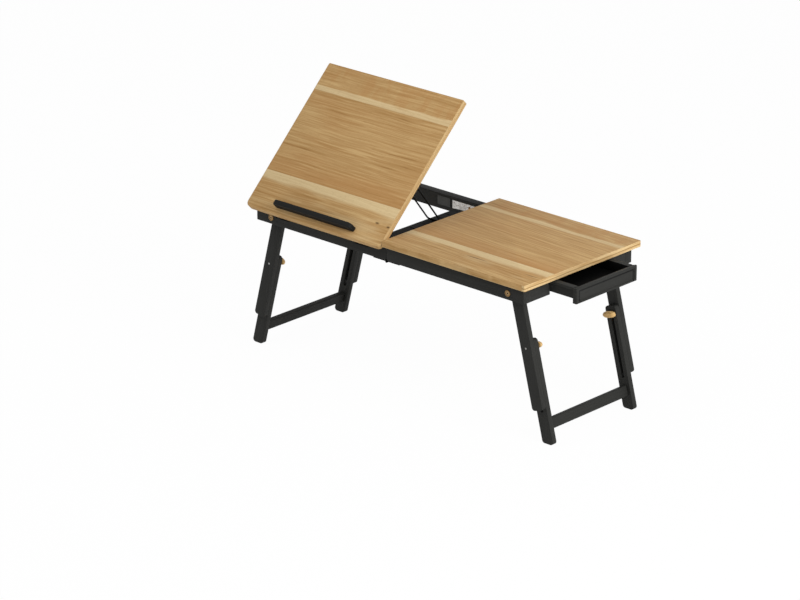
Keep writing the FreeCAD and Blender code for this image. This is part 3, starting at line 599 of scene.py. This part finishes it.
def body_of(node: str) -> str:
    """Give the body that a node belongs to."""
    bodies = frame["record"]["behaviour"]["bodies"]
    return next(body for body, nodes in bodies.items() if node in nodes)


def bake(piece: Object) -> None:
    """Turn a piece's modifiers into plain mesh."""
    graph = bpy.context.evaluated_depsgraph_get()
    mesh = bpy.data.meshes.new_from_object(piece.evaluated_get(graph))
    piece.modifiers.clear()
    piece.data = mesh


def shade(mesh: Mesh, angle: float) -> None:
    """Smooth a mesh except over edges sharper than an angle in degrees."""
    mesh.shade_smooth()
    mesh.set_sharp_from_angle(angle=radians(angle))


def placed_in_scene(name: str, data: bpy.types.ID) -> Object:
    """Put a mesh, lamp or camera into the scene as an object at the origin."""
    item = bpy.data.objects.new(name, data)
    bpy.context.scene.collection.objects.link(item)
    return item


def meshed(build: bmesh.types.BMesh, name: str) -> Mesh:
    """Turn a finished bmesh into a new mesh."""
    mesh = bpy.data.meshes.new(name)
    build.to_mesh(mesh)
    build.free()
    return mesh


def ease(piece: Object, width: float, sharper_than: float = 32.0) -> None:
    """Round a piece's sharp edges and bake them in.

    Args:
        piece: the piece.
        width: the width of the rounding.
        sharper_than: the least angle of an edge that is rounded, in degrees.
    """
    bevel = piece.modifiers.new("eased", "BEVEL")
    bevel.width = width
    bevel.segments = 3
    bevel.limit_method = "ANGLE"
    bevel.angle_limit = radians(sharper_than)
    bevel.use_clamp_overlap = True
    bake(piece)


def cleaned(node: str) -> Mesh:
    """Copy a node's solid with its seams merged and its flat faces whole."""
    build = bmesh.new()
    build.from_mesh(frame["nodes"][node].data)
    bmesh.ops.remove_doubles(build, verts=build.verts, dist=1e-6)
    bmesh.ops.dissolve_limit(build, angle_limit=radians(0.6), verts=build.verts,
                             edges=build.edges)
    return meshed(build, node)


def rounded_outline(low: Flat, high: Flat, radii: Sequence[float]) -> list[Flat]:
    """Give the outline of a rectangle with rounded corners.

    Args:
        low: the lower left corner.
        high: the upper right corner.
        radii: the corner radii, anticlockwise from the lower left.

    Returns:
        The points of the outline, anticlockwise.
    """
    steps = 12
    points = []
    for quarter, radius in zip((2, 3, 0, 1), radii):
        x = high[0] - radius if quarter in (3, 0) else low[0] + radius
        y = high[1] - radius if quarter in (0, 1) else low[1] + radius
        for step in range(steps + 1):
            angle = radians(90 * (quarter + step / steps))
            points.append((x + radius * cos(angle), y + radius * sin(angle)))
    return points


def circle(radius: float, height: float, facets: int) -> list[Point]:
    """Give a ring of points about Z."""
    angles = [tau * index / facets for index in range(facets)]
    return [(radius * cos(angle), radius * sin(angle), height) for angle in angles]


def skin(rings: Sequence[Sequence[Point]], tips: Sequence[Point] = ()) -> Mesh:
    """Join rings of points into a closed skin.

    Args:
        rings: rings of equal length, in order from the first end to the last.
        tips: the points that close the first and last ring, or nothing for flat ends.

    Returns:
        The mesh, with its faces outwards.
    """
    build = bmesh.new()
    rows = [[build.verts.new(point) for point in ring] for ring in rings]
    for row, following in zip(rows, rows[1:]):
        for corners in zip(row, row[1:] + row[:1], following[1:] + following[:1], following):
            build.faces.new(corners)
    for row, tip in zip((rows[0], rows[-1]), tips):
        middle = build.verts.new(tip)
        for first, second in zip(row, row[1:] + row[:1]):
            build.faces.new((first, second, middle))
    if not tips:
        build.faces.new(rows[0])
        build.faces.new(rows[-1])
    bmesh.ops.recalc_face_normals(build, faces=build.faces)
    return meshed(build, "skin")


def slab(outline: Sequence[Flat], bottom: float, top: float) -> Mesh:
    """Make a closed board from its outline and the heights of its two faces."""
    return skin([[(x, y, z) for x, y in outline] for z in (bottom, top)])


def joined(name: str, meshes: Iterable[tuple[Mesh, Matrix]]) -> Object:
    """Put meshes together as one piece.

    Args:
        name: the piece's name.
        meshes: each mesh and where it goes.

    Returns:
        The piece.
    """
    build = bmesh.new()
    for mesh, matrix in meshes:
        mesh.transform(matrix)
        build.from_mesh(mesh)
        bpy.data.meshes.remove(mesh)
    return placed_in_scene(name, meshed(build, name))


def turn(degrees: float, axis: str) -> Matrix:
    """Give a turn about an axis through the origin."""
    return Matrix.Rotation(radians(degrees), 4, axis)


# ---- screws

class Recess(Enum):
    """The drive cut into a screw's head, by its number of bars."""

    CROSS = 2
    SLOT = 1


@dataclass(frozen=True)
class Head:
    """The sizes of a screw's head and of its drive."""

    radius: float = 3 * MM
    height: float = 1.1 * MM
    recess_width: float = 0.9 * MM
    recess_length: float = 3.4 * MM
    recess_depth: float = 0.8 * MM


class ScrewTree(Nodes):
    """A Geometry Nodes tree that drives a screw at every point of a mesh.

    The mesh gives each screw's place, and its facing attribute the way out of the surface.
    """

    SEED: ClassVar[int] = 5

    def __init__(self, recess: Recess) -> None:
        """Build the tree for one kind of drive."""
        super().__init__(bpy.data.node_groups.new(f"screws_{recess.name.lower()}",
                                                  "GeometryNodeTree"))
        kinds = {"points": "Geometry", **{name: "Float" for name in vars(Head())},
                 "finish": "Material", "screws": "Geometry"}
        self.sockets = {name: self.tree.interface.new_socket(
            name=name, in_out="OUTPUT" if name == "screws" else "INPUT",
            socket_type=f"NodeSocket{kind}").identifier for name, kind in kinds.items()}
        self._lay(recess)

    def _head(self, given: Wire) -> Wire:
        """Make a low domed head, lengthened below the surface that it holds."""
        ball = self.add("GeometryNodeMeshUVSphere", {},
                        {"Segments": 28, "Rings": 12, "Radius": 1.0}, "Mesh")
        scale = self.add("ShaderNodeCombineXYZ", {}, {
            "X": given.other("radius"), "Y": given.other("radius"), "Z": given.other("height")})
        return self.add("GeometryNodeTransform", {}, {"Geometry": ball, "Scale": scale})

    def _bars(self, given: Wire, recess: Recess) -> Wire:
        """Make the bars that cut the drive out of the head."""
        size = self.add("ShaderNodeCombineXYZ", {}, {
            axis: given.other(f"recess_{measure}")
            for axis, measure in zip("XYZ", ("length", "width", "depth"))})
        bar = self.add("GeometryNodeMeshCube", {}, {"Size": size}, "Mesh")
        lift = self.add("ShaderNodeCombineXYZ", {}, {"Z": given.other("height")})
        both = self.add("GeometryNodeJoinGeometry")
        for number in range(recess.value):
            self.feed(both.socket.node.inputs[0], self.add("GeometryNodeTransform", {}, {
                "Geometry": bar, "Translation": lift,
                "Rotation": (0.0, 0.0, pi / 2 * number)}))
        return both

    def _lay(self, recess: Recess) -> None:
        """Lay out the nodes from the points to the finished screws."""
        given = self.add("NodeGroupInput")
        head = self.add("GeometryNodeMeshBoolean", {"operation": "DIFFERENCE"}, {
            "Mesh 1": self._head(given), "Mesh 2": self._bars(given, recess)}, "Mesh")
        way = self.add("GeometryNodeInputNamedAttribute", {"data_type": "FLOAT_VECTOR"},
                       {"Name": "facing"}, "Attribute")
        upright = self.add("FunctionNodeAlignRotationToVector", {"axis": "Z"}, {"Vector": way})
        spin = self.add("FunctionNodeRandomValue", {"data_type": "FLOAT_VECTOR"}, {
            "Min": (0.0, 0.0, 0.0), "Max": (0.0, 0.0, pi), "Seed": self.SEED})
        driven = self.add("FunctionNodeRotateRotation", {"rotation_space": "LOCAL"}, {
            "Rotation": upright,
            "Rotate By": self.add("FunctionNodeEulerToRotation", {}, {0: spin})})
        copies = self.add("GeometryNodeInstanceOnPoints", {}, {
            "Points": given.other("points"), "Instance": head, "Rotation": driven})
        solid = self.add("GeometryNodeRealizeInstances", {}, {"Geometry": copies})
        self.end("NodeGroupOutput", self.add("GeometryNodeSetMaterial", {}, {
            "Geometry": solid, "Material": given.other("finish")}))


@dataclass(frozen=True)
class Workshop:
    """What every sub-assembly is made with: the finishes and the screws."""

    palette: Palette
    screws: dict[Recess, ScrewTree]

    def stand_for(self, piece: Object, node: str, finish: Finish) -> None:
        """Finish a piece that stands for a node.

        Args:
            piece: the piece, with its place in its mesh.
            node: the node that it stands for.
            finish: its finish.
        """
        piece.data.materials.clear()
        piece.data.materials.append(self.palette[finish])
        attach(piece, body_of(node))
        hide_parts(node)
        LOG.info("%s stands for %s, %d faces", piece.name, node, len(piece.data.polygons))

    def dress(self, node: str, finish: Finish) -> None:
        """Give a node's own solid a finish."""
        for slot in frame["nodes"][node].material_slots:
            slot.material = self.palette[finish]
        LOG.info("%s keeps its solid", node)

    def work(self, node: str, finish: Finish, edge: float) -> None:
        """Stand a copy of a node's solid with rounded edges for it.

        Args:
            node: the node.
            finish: its finish.
            edge: the width of the rounding.
        """
        piece = placed_in_scene(node + "_worked", cleaned(node))
        ease(piece, edge)
        shade(piece.data, 24.0)
        self.stand_for(piece, node, finish)

    def drive(self, name: str, body: str, places: Sequence[tuple[Point, Point]], head: Head,
              finish: Finish, recess: Recess = Recess.CROSS) -> None:
        """Drive screws into a body.

        Args:
            name: the piece's name.
            body: the body that they ride on.
            places: each screw's place and the way that its head faces.
            head: the sizes of the heads.
            finish: their finish.
            recess: their drive.
        """
        mesh = bpy.data.meshes.new(name)
        mesh.from_pydata([place for place, _ in places], [], [])
        ways = mesh.attributes.new("facing", "FLOAT_VECTOR", "POINT")
        for item, (_, way) in zip(ways.data, places):
            item.vector = way
        piece = placed_in_scene(name, mesh)
        tree = self.screws[recess]
        modifier = piece.modifiers.new("screws", "NODES")
        modifier.node_group = tree.tree
        for key, value in {**vars(head), "finish": self.palette[finish]}.items():
            modifier[tree.sockets[key]] = value
        bake(piece)
        shade(piece.data, 40.0)
        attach(piece, body)
        LOG.info("%s: %d screws", name, len(places))


def low_screws(places: Iterable[float], y: float, z: float) -> list[tuple[Point, Point]]:
    """Give screws that face down, in pairs at both sides of the desk."""
    return [((x, side * y, z), DOWN) for x in places for side in (-1, 1)]


# ---- the desk

@dataclass
class Half:
    """The sizes that both halves of the desk share, and how their tops are finished."""

    shop: Workshop
    fold_gap: float = 0.5 * MM
    depth: float = 340 * MM
    thick: float = 12 * MM
    corner: float = 3 * MM
    board_edge: float = 0.8 * MM
    rail_edge: float = 0.6 * MM
    rail_middle: float = 147.5 * MM
    hinge_foot: float = 279.8 * MM
    hinge_screws: Flat = (13 * MM, 28 * MM)
    hinge_head: Head = Head(radius=2.6 * MM, height=0.8 * MM)

    def finish_top(self, piece: Object, node: str, finish: Finish) -> None:
        """Round the edges of an oak top and stand it for its solid."""
        ease(piece, self.board_edge, 60.0)
        shade(piece.data, 30.0)
        self.shop.stand_for(piece, node, finish)


@dataclass
class LevelHalf(Half):
    """The level half: its top, rails, end boards, drawer runners and fold hinges."""

    underside: float = 313 * MM
    fold_corner: float = 0.4 * MM
    runner_foot: float = 299.2 * MM
    runner_middle: float = 90 * MM
    runner_screws: Point = (150 * MM, 230 * MM, 310 * MM)

    def build_top(self) -> None:
        """Make the oak top, square at the fold and rounded at its outer corners."""
        outline = rounded_outline(
            (self.fold_gap, -self.depth / 2), (HALF_LENGTH, self.depth / 2),
            (self.fold_corner, self.corner, self.corner, self.fold_corner))
        mesh = slab(outline, self.underside, self.underside + self.thick)
        self.finish_top(placed_in_scene("level_top", mesh), "fixed_top", Finish.LEVEL_TOP)

    def build_frame(self) -> None:
        """Ease the edges of the rails, end boards and runners."""
        for end in ("front", "rear"):
            self.shop.work(f"right_{end}_rail", Finish.BLACK_LONG, self.rail_edge)
            self.shop.work(f"{end}_drawer_runner", Finish.BLACK_LONG, self.rail_edge)
            self.shop.work(f"right_{end}_end_board", Finish.BLACK_CROSS, self.rail_edge)
        self.shop.work("drawer_stop", Finish.BLACK_CROSS, self.rail_edge)

    def build_hardware(self) -> None:
        """Dress the hinges and drive their screws and the runners' screws."""
        for node in ("right_front_fold_leaf", "right_rear_fold_leaf", "fold_hinge_pins"):
            self.shop.dress(node, Finish.BLACK_METAL)
        self.shop.dress("right_leg_catches", Finish.MAGNET)
        places = low_screws(self.hinge_screws, self.rail_middle, self.hinge_foot)
        places += low_screws(self.runner_screws, self.runner_middle, self.runner_foot)
        self.shop.drive("level_half_screws", "right_half", places, self.hinge_head, Finish.STEEL)

    def build(self) -> None:
        """Make the whole half."""
        self.build_top()
        self.build_frame()
        self.build_hardware()


@dataclass
class TiltingHalf(Half):
    """The tilting half: its top, ledge, rails, rack, wire prop and hinges.

    Places on the tilting top are drawn level, about the hinge line, and then tilted.
    """

    hinge_inset: float = 11 * MM
    hinge_drop: float = 2 * MM
    front_corner: float = 12 * MM
    ledge_edge: float = 1.1 * MM
    leaf_starts: Flat = (-84 * MM, -296 * MM)
    leaf_screws: Flat = (7 * MM, 29 * MM)
    leaf_face: float = -158.2 * MM
    leaf_height: float = 302.5 * MM
    leaf_head: Head = Head(1.9 * MM, 0.6 * MM, 0.6 * MM, 2.2 * MM, 0.6 * MM)
    plate_face: float = 136.5 * MM
    plate_screws: Flat = (-48.5 * MM, -12 * MM)
    plate_height: float = 300 * MM
    plate_head: Head = Head(radius=3.2 * MM, height=1.4 * MM)
    plate_edge: float = 0.3 * MM
    wire_radius: float = 1.65 * MM
    wire_bend: float = 5 * MM
    wire_span: float = 35 * MM
    wire_ear: float = 14 * MM
    wire_facets: int = 16
    bend_steps: int = 8
    prop_arm: float = 124.3 * MM
    prop_angle: float = 51.8
    prop_middle: float = -36 * MM
    prop_reach: float = 140 * MM
    prop_drop: float = 3.6 * MM
    clip_edge: float = 0.6 * MM
    clip_foot: float = -6.7 * MM
    clip_inset: float = 3.5 * MM
    clip_half: float = 3.1 * MM
    clip_head: Head = Head(1.2 * MM, 0.5 * MM, 0.4 * MM, 1.6 * MM, 0.4 * MM)
    web: Four = (-58 * MM, -29.5 * MM, 304 * MM, 305.2 * MM)
    web_reach: Flat = (99.5 * MM, 107 * MM)

    @property
    def tilted(self) -> Matrix:
        """The placement of what is drawn about the hinge line."""
        return Matrix.Translation(HINGE) @ turn(TILT, "X")

    def build_top(self) -> None:
        """Make the tilting oak top with its well rounded front corners."""
        outline = rounded_outline(
            (-HALF_LENGTH, -self.hinge_inset),
            (-self.fold_gap, self.depth - self.hinge_inset),
            (self.front_corner, self.front_corner, self.corner, self.corner))
        mesh = slab(outline, self.hinge_drop, self.hinge_drop + self.thick)
        self.finish_top(joined("tilting_top", [(mesh, self.tilted)]), "tilt_top",
                        Finish.TILT_TOP)

    def build_frame(self) -> None:
        """Ease the edges of the ledge, rails and end board."""
        self.shop.work("stop_ledge", Finish.BLACK_LONG, self.ledge_edge)
        for end in ("front", "rear"):
            self.shop.work(f"left_{end}_rail", Finish.BLACK_LONG, self.rail_edge)
        self.shop.work("left_end_board", Finish.BLACK_CROSS, self.rail_edge)

    def wire_line(self) -> list[Vector]:
        """Give the wire's centre line in its own plane, with its bends rounded."""
        half, arm = self.wire_span / 2, self.prop_arm
        corners = [Vector(point) for point in (
            (-half - self.wire_ear, 0, 0), (-half, 0, 0), (-half, arm, 0),
            (half, arm, 0), (half, 0, 0), (half + self.wire_ear, 0, 0))]
        line = [corners[0]]
        for before, corner, after in zip(corners, corners[1:], corners[2:]):
            inward = (before - corner).normalized() * self.wire_bend
            onward = (after - corner).normalized() * self.wire_bend
            for step in range(self.bend_steps + 1):
                angle = radians(90 * step / self.bend_steps)
                line.append(corner + inward + onward - onward * cos(angle)
                            - inward * sin(angle))
        return line + [corners[-1]]

    def build_prop(self) -> None:
        """Bend the wire prop from its clips down to the rack."""
        line = self.wire_line()
        up = Vector((0, 0, 1))
        rings = []
        for before, point, after in zip(line[:1] + line, line, line[1:] + line[-1:]):
            side = up.cross((after - before).normalized())
            rings.append([point + (side * across + up * height) * self.wire_radius
                          for across, height, _ in circle(1.0, 0.0, self.wire_facets)])
        ears = self.tilted @ Vector((self.prop_middle, self.prop_reach, -self.prop_drop))
        placed = Matrix.Translation(ears) @ turn(-self.prop_angle, "X")
        piece = joined("bent_wire", [(skin(rings, (line[0], line[-1])), placed)])
        shade(piece.data, 50.0)
        self.shop.stand_for(piece, "wire_prop", Finish.BLACK_METAL)

    def build_rack(self) -> None:
        """Press the rack, with the webs at the roots of its arms."""
        pieces = [(cleaned("prop_rack"), Matrix())]
        left, right, low, high = self.web
        for side in (-1, 1):
            near, far = sorted(side * reach for reach in self.web_reach)
            outline = [(left, near), (right, near), (right, far), (left, far)]
            pieces.append((slab(outline, low, high), Matrix()))
        piece = joined("notched_rack", pieces)
        shade(piece.data, 24.0)
        self.shop.stand_for(piece, "prop_rack", Finish.BLACK_METAL)

    def build_hardware(self) -> None:
        """Dress the plates, clips and hinges."""
        self.shop.work("rail_plates", Finish.PLATE, self.plate_edge)
        self.shop.work("prop_clips", Finish.PLASTIC, self.clip_edge)
        self.shop.dress("left_leg_catches", Finish.MAGNET)
        for node in ("left_front_fold_leaf", "left_rear_fold_leaf", "tilt_hinge_rail_leaves",
                     "tilt_hinge_desk_leaves", "tilt_hinge_pins"):
            self.shop.dress(node, Finish.BLACK_METAL)

    def build_screws(self) -> None:
        """Drive the screws of the plates, hinges and clips."""
        plates = [((x, side * self.plate_face, self.plate_height), (0.0, -float(side), 0.0))
                  for x in self.plate_screws for side in (-1, 1)]
        self.shop.drive("plate_screws", "left_half", plates, self.plate_head, Finish.SCREW)
        hinges = low_screws([-x for x in self.hinge_screws], self.rail_middle, self.hinge_foot)
        self.shop.drive("fold_hinge_screws", "left_half", hinges, self.hinge_head,
                        Finish.BLACK_METAL)
        leaves = [((start + step, self.leaf_face, self.leaf_height), (0.0, -1.0, 0.0))
                  for start in self.leaf_starts for step in self.leaf_screws]
        self.shop.drive("tilt_hinge_screws", "left_half", leaves, self.leaf_head,
                        Finish.BLACK_METAL)
        ears = self.wire_span / 2 + self.wire_ear - self.clip_inset
        down = tuple(self.tilted.to_3x3() @ Vector(DOWN))
        clips = [(tuple(self.tilted @ Vector((
            self.prop_middle + side * ears, self.prop_reach + way * self.clip_half,
            self.clip_foot))), down) for side in (-1, 1) for way in (-1, 1)]
        self.shop.drive("clip_screws", "tilt_desk", clips, self.clip_head, Finish.STEEL,
                        Recess.SLOT)

    def build(self) -> None:
        """Make the whole half."""
        self.build_top()
        self.build_frame()
        self.build_prop()
        self.build_rack()
        self.build_hardware()
        self.build_screws()


@dataclass
class LegFrame:
    """One telescoping leg frame with its bolts and wing knobs.

    The cap's and the knob's profiles are radius and height in mm, and the knob's steps are
    height in mm and share of its full size.
    """

    shop: Workshop
    name: str
    side: int
    edge: float = 0.9 * MM
    foot_edge: float = 1.5 * MM
    bolt_edge: float = 0.5 * MM
    splay: float = 14.6
    rail_face: float = 157 * MM
    cap_profile: tuple[Flat, ...] = (
        (3.0, -31.7), (3.0, 0.0), (6.3, 0.0), (6.3, 1.0), (6.05, 1.5), (5.5, 1.7), (4.7, 1.7),
        (4.3, 1.4), (4.3, 0.9), (2.2, 0.9), (1.9, 0.7), (1.9, 0.1))
    cap_facets: int = 40
    stud_reach: float = 113 * MM
    knob_face: float = 113.4 * MM
    knob_half: Flat = (15.3 * MM, 6.6 * MM)
    knob_squareness: float = 0.86
    knob_facets: int = 48
    knob_top: float = 12.7
    knob_profile: tuple[Flat, ...] = ((2.35, 9.3), (2.35, 0.0), (5.5, 0.0), (5.5, 2.2),
                                      (5.2, 2.8))
    knob_steps: tuple[Flat, ...] = (
        (3.1, 0.84), (3.5, 0.94), (4.3, 0.985), (5.6, 1.0), (7.0, 0.985), (8.4, 0.94),
        (9.8, 0.87), (11.0, 0.77), (11.9, 0.64), (12.4, 0.48), (12.65, 0.26))

    def build_legs(self) -> None:
        """Ease the edges of the legs and the rung."""
        for end in ("front", "rear"):
            leg = f"{self.name}_{end}"
            self.shop.work(f"{leg}_upper_leg", Finish.BLACK_UPRIGHT, self.edge)
            self.shop.work(f"{leg}_lower_leg", Finish.BLACK_UPRIGHT, self.foot_edge)
        self.shop.work(f"{self.name}_rung", Finish.BLACK_CROSS, self.edge)

    def build_caps(self) -> None:
        """Turn the hollow caps of the pivot bolts with their shanks."""
        rings = [circle(radius * MM, height * MM, self.cap_facets)
                 for radius, height in self.cap_profile]
        tips = [(0.0, 0.0, ring[0][2]) for ring in (rings[0], rings[-1])]
        caps = []
        for end in (-1, 1):
            place = Vector((self.side * PIVOT[0], end * self.rail_face, PIVOT[1]))
            caps.append((skin(rings, tips), Matrix.Translation(place) @ turn(-end * 90, "X")))
        piece = joined(f"{self.name}_bolt_caps", caps)
        shade(piece.data, 35.0)
        self.shop.stand_for(piece, f"{self.name}_pivot_bolts", Finish.CAP)

    def knob_ring(self, height: float, share: float) -> list[Point]:
        """Give a ring of the knob's wing, an oval at a share of its full size."""
        return [tuple(copysign(abs(part) ** self.knob_squareness, part) * half * share
                      for part, half in zip(point, self.knob_half)) + (height,)
                for point in circle(1.0, 0.0, self.knob_facets)]

    def build_knob(self, end_name: str, end: int) -> None:
        """Shape a wing knob, bored for its stud and set square to the leg."""
        rings = [circle(radius * MM, height * MM, self.knob_facets)
                 for radius, height in self.knob_profile]
        rings += [self.knob_ring(height * MM, share) for height, share in self.knob_steps]
        mesh = skin(rings, ((0.0, 0.0, rings[0][0][2]), (0.0, 0.0, self.knob_top * MM)))
        splay = radians(self.splay)
        place = Vector((self.side * (PIVOT[0] + self.stud_reach * sin(splay)),
                        end * self.knob_face, PIVOT[1] - self.stud_reach * cos(splay)))
        matrix = (Matrix.Translation(place) @ turn(end * 90, "X")
                  @ turn(self.side * end * self.splay, "Z"))
        piece = joined(f"{self.name}_{end_name}_wing_knob", [(mesh, matrix)])
        shade(piece.data, 42.0)
        self.shop.stand_for(piece, f"{self.name}_{end_name}_knob", Finish.KNOB)

    def build(self) -> None:
        """Make the whole frame."""
        self.build_legs()
        self.build_caps()
        self.build_knob("front", -1)
        self.build_knob("rear", 1)
        self.shop.work(f"{self.name}_height_bolts", Finish.STUD, self.bolt_edge)
        for part in ("nuts", "washers"):
            self.shop.dress(f"{self.name}_pivot_{part}", Finish.STEEL)


@dataclass
class Drawer:
    """The drawer, black outside and darker within, with its floor's screws."""

    shop: Workshop
    edge: float = 0.6 * MM
    front_edge: float = 0.9 * MM
    screw_inset: float = 6 * MM
    screw_places: Point = (-60 * MM, 0.0, 60 * MM)
    screw_head: Head = Head(radius=2.2 * MM, height=0.7 * MM)
    floor_foot: float = 288.5 * MM

    def build_boards(self) -> None:
        """Ease the edges of the drawer's boards."""
        self.shop.work("drawer_front", Finish.DRAWER_FACE, self.front_edge)
        for node in ("drawer_front_side", "drawer_rear_side", "drawer_back", "drawer_floor"):
            self.shop.work(node, Finish.DRAWER_BLACK, self.edge)

    def build_screws(self) -> None:
        """Drive the screws that hold the floor up to the drawer's back."""
        low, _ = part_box("drawer_floor")
        places = [((low[0] + self.screw_inset, y, self.floor_foot), DOWN)
                  for y in self.screw_places]
        self.shop.drive("drawer_floor_screws", "drawer", places, self.screw_head, Finish.STEEL)

    def build(self) -> None:
        """Make the whole drawer."""
        self.build_boards()
        self.build_screws()


# ---- studio

@dataclass
class Studio:
    """The floor, the lights and the camera.

    The target falls right of and above the middle of the picture by a number of pixels. A
    lamp is its name, its place, the side of its square face and its power in watts.
    """

    azimuth: float = 42.19
    elevation: float = 20.28
    distance: float = 7.174
    target: Point = (0.0, 0.0, 0.22786)
    focal_pixels: float = 3668.63
    picture_width: float = 800.0
    target_right: float = 40.92
    target_up: float = 34.24
    sensor_width: float = 36.0
    clip_end: float = 100.0
    floor_size: float = 30.0
    floor_glow: float = 0.97
    room: Four = (0.97, 0.985, 1.0, 1.0)
    room_strength: float = 0.47
    lamp_aim: Point = (0.0, 0.0, 0.25)
    lamps: tuple[tuple[str, Point, float, float], ...] = (
        ("key", (3.6, -0.3, 2.0), 2.0, 117.0),
        ("top", (-0.7, -1.9, 3.2), 2.4, 26.0))

    def camera(self) -> None:
        """Set the camera so that the target falls at its place in the picture."""
        azimuth = radians(self.azimuth)
        elevation = radians(self.elevation)
        outward = Vector((sin(azimuth) * cos(elevation),
                          -cos(azimuth) * cos(elevation), sin(elevation)))
        target = Vector(self.target)
        position = target + outward * self.distance
        right = Vector((0, 0, 1)).cross(outward).normalized()
        up = outward.cross(right)
        scale = self.distance / self.focal_pixels
        data = bpy.data.cameras.new("view")
        data.sensor_width = self.sensor_width
        data.lens = self.focal_pixels / self.picture_width * data.sensor_width
        data.clip_end = self.clip_end
        camera = placed_in_scene("view", data)
        aim = target - right * self.target_right * scale - up * self.target_up * scale
        self.point(camera, position, aim)
        bpy.context.scene.camera = camera

    @staticmethod
    def point(item: Object, place: Point | Vector, aim: Point | Vector) -> None:
        """Put a camera or a lamp at a place and point it at another."""
        item.location = place
        way = Vector(aim) - Vector(place)
        item.rotation_euler = way.to_track_quat("-Z", "Y").to_euler()

    def floor(self) -> None:
        """Lay a plain pale floor that keeps the desk's shadow."""
        half = self.floor_size / 2
        mesh = bpy.data.meshes.new("floor")
        mesh.from_pydata([(-half, -half, 0), (half, -half, 0), (half, half, 0), (-half, half, 0)],
                         [], [(0, 1, 2, 3)])
        graph = Graph("pale_floor")
        cloud = graph.noise(graph.place(), 2.0)
        pale = graph.blend(cloud * 0.1, (0.92, 0.92, 0.92, 1), (0.88, 0.88, 0.88, 1))
        graph.set(Base_Color=pale, Roughness=0.9, Specular_IOR_Level=0.1)
        glow = graph.add("ShaderNodeEmission", {}, {"Color": WHITE, "Strength": 1.0})
        mixed = graph.add("ShaderNodeMixShader", {}, {
            0: graph.seen() * self.floor_glow, 1: Wire(graph, graph.shader.outputs[0]), 2: glow})
        graph.feed(graph.tree.nodes["Material Output"].inputs["Surface"], mixed)
        mesh.materials.append(graph.material)
        placed_in_scene("floor", mesh)

    def world(self) -> None:
        """Light the room softly and show white behind the desk."""
        world = bpy.data.worlds.new("studio")
        world.use_nodes = True
        nodes = Nodes(world.node_tree)
        nodes.tree.nodes.clear()
        light, white = (nodes.add("ShaderNodeBackground", {}, {0: colour, 1: strength})
                        for colour, strength in ((self.room, self.room_strength), (WHITE, 1.0)))
        nodes.end("ShaderNodeOutputWorld",
                  nodes.add("ShaderNodeMixShader", {}, {0: nodes.seen(), 1: light, 2: white}))
        bpy.context.scene.world = world

    def build(self) -> None:
        """Set up the studio."""
        self.camera()
        self.floor()
        self.world()
        for name, place, size, power in self.lamps:
            data = bpy.data.lights.new(name, "AREA")
            data.size = size
            data.energy = power
            self.point(placed_in_scene(name, data), place, self.lamp_aim)
        bpy.context.scene.view_settings.view_transform = "Standard"


def main() -> None:
    """Build the dressed desk."""
    logging.basicConfig(level=logging.INFO, format="%(message)s")
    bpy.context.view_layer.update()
    Studio().build()
    shop = Workshop(make_finishes(), {recess: ScrewTree(recess) for recess in Recess})
    for assembly in (LevelHalf(shop), TiltingHalf(shop), LegFrame(shop, "left", -1),
                     LegFrame(shop, "right", 1), Drawer(shop)):
        assembly.build()
        LOG.info("%s is done", type(assembly).__name__)


if __name__ == "__main__":
    main()
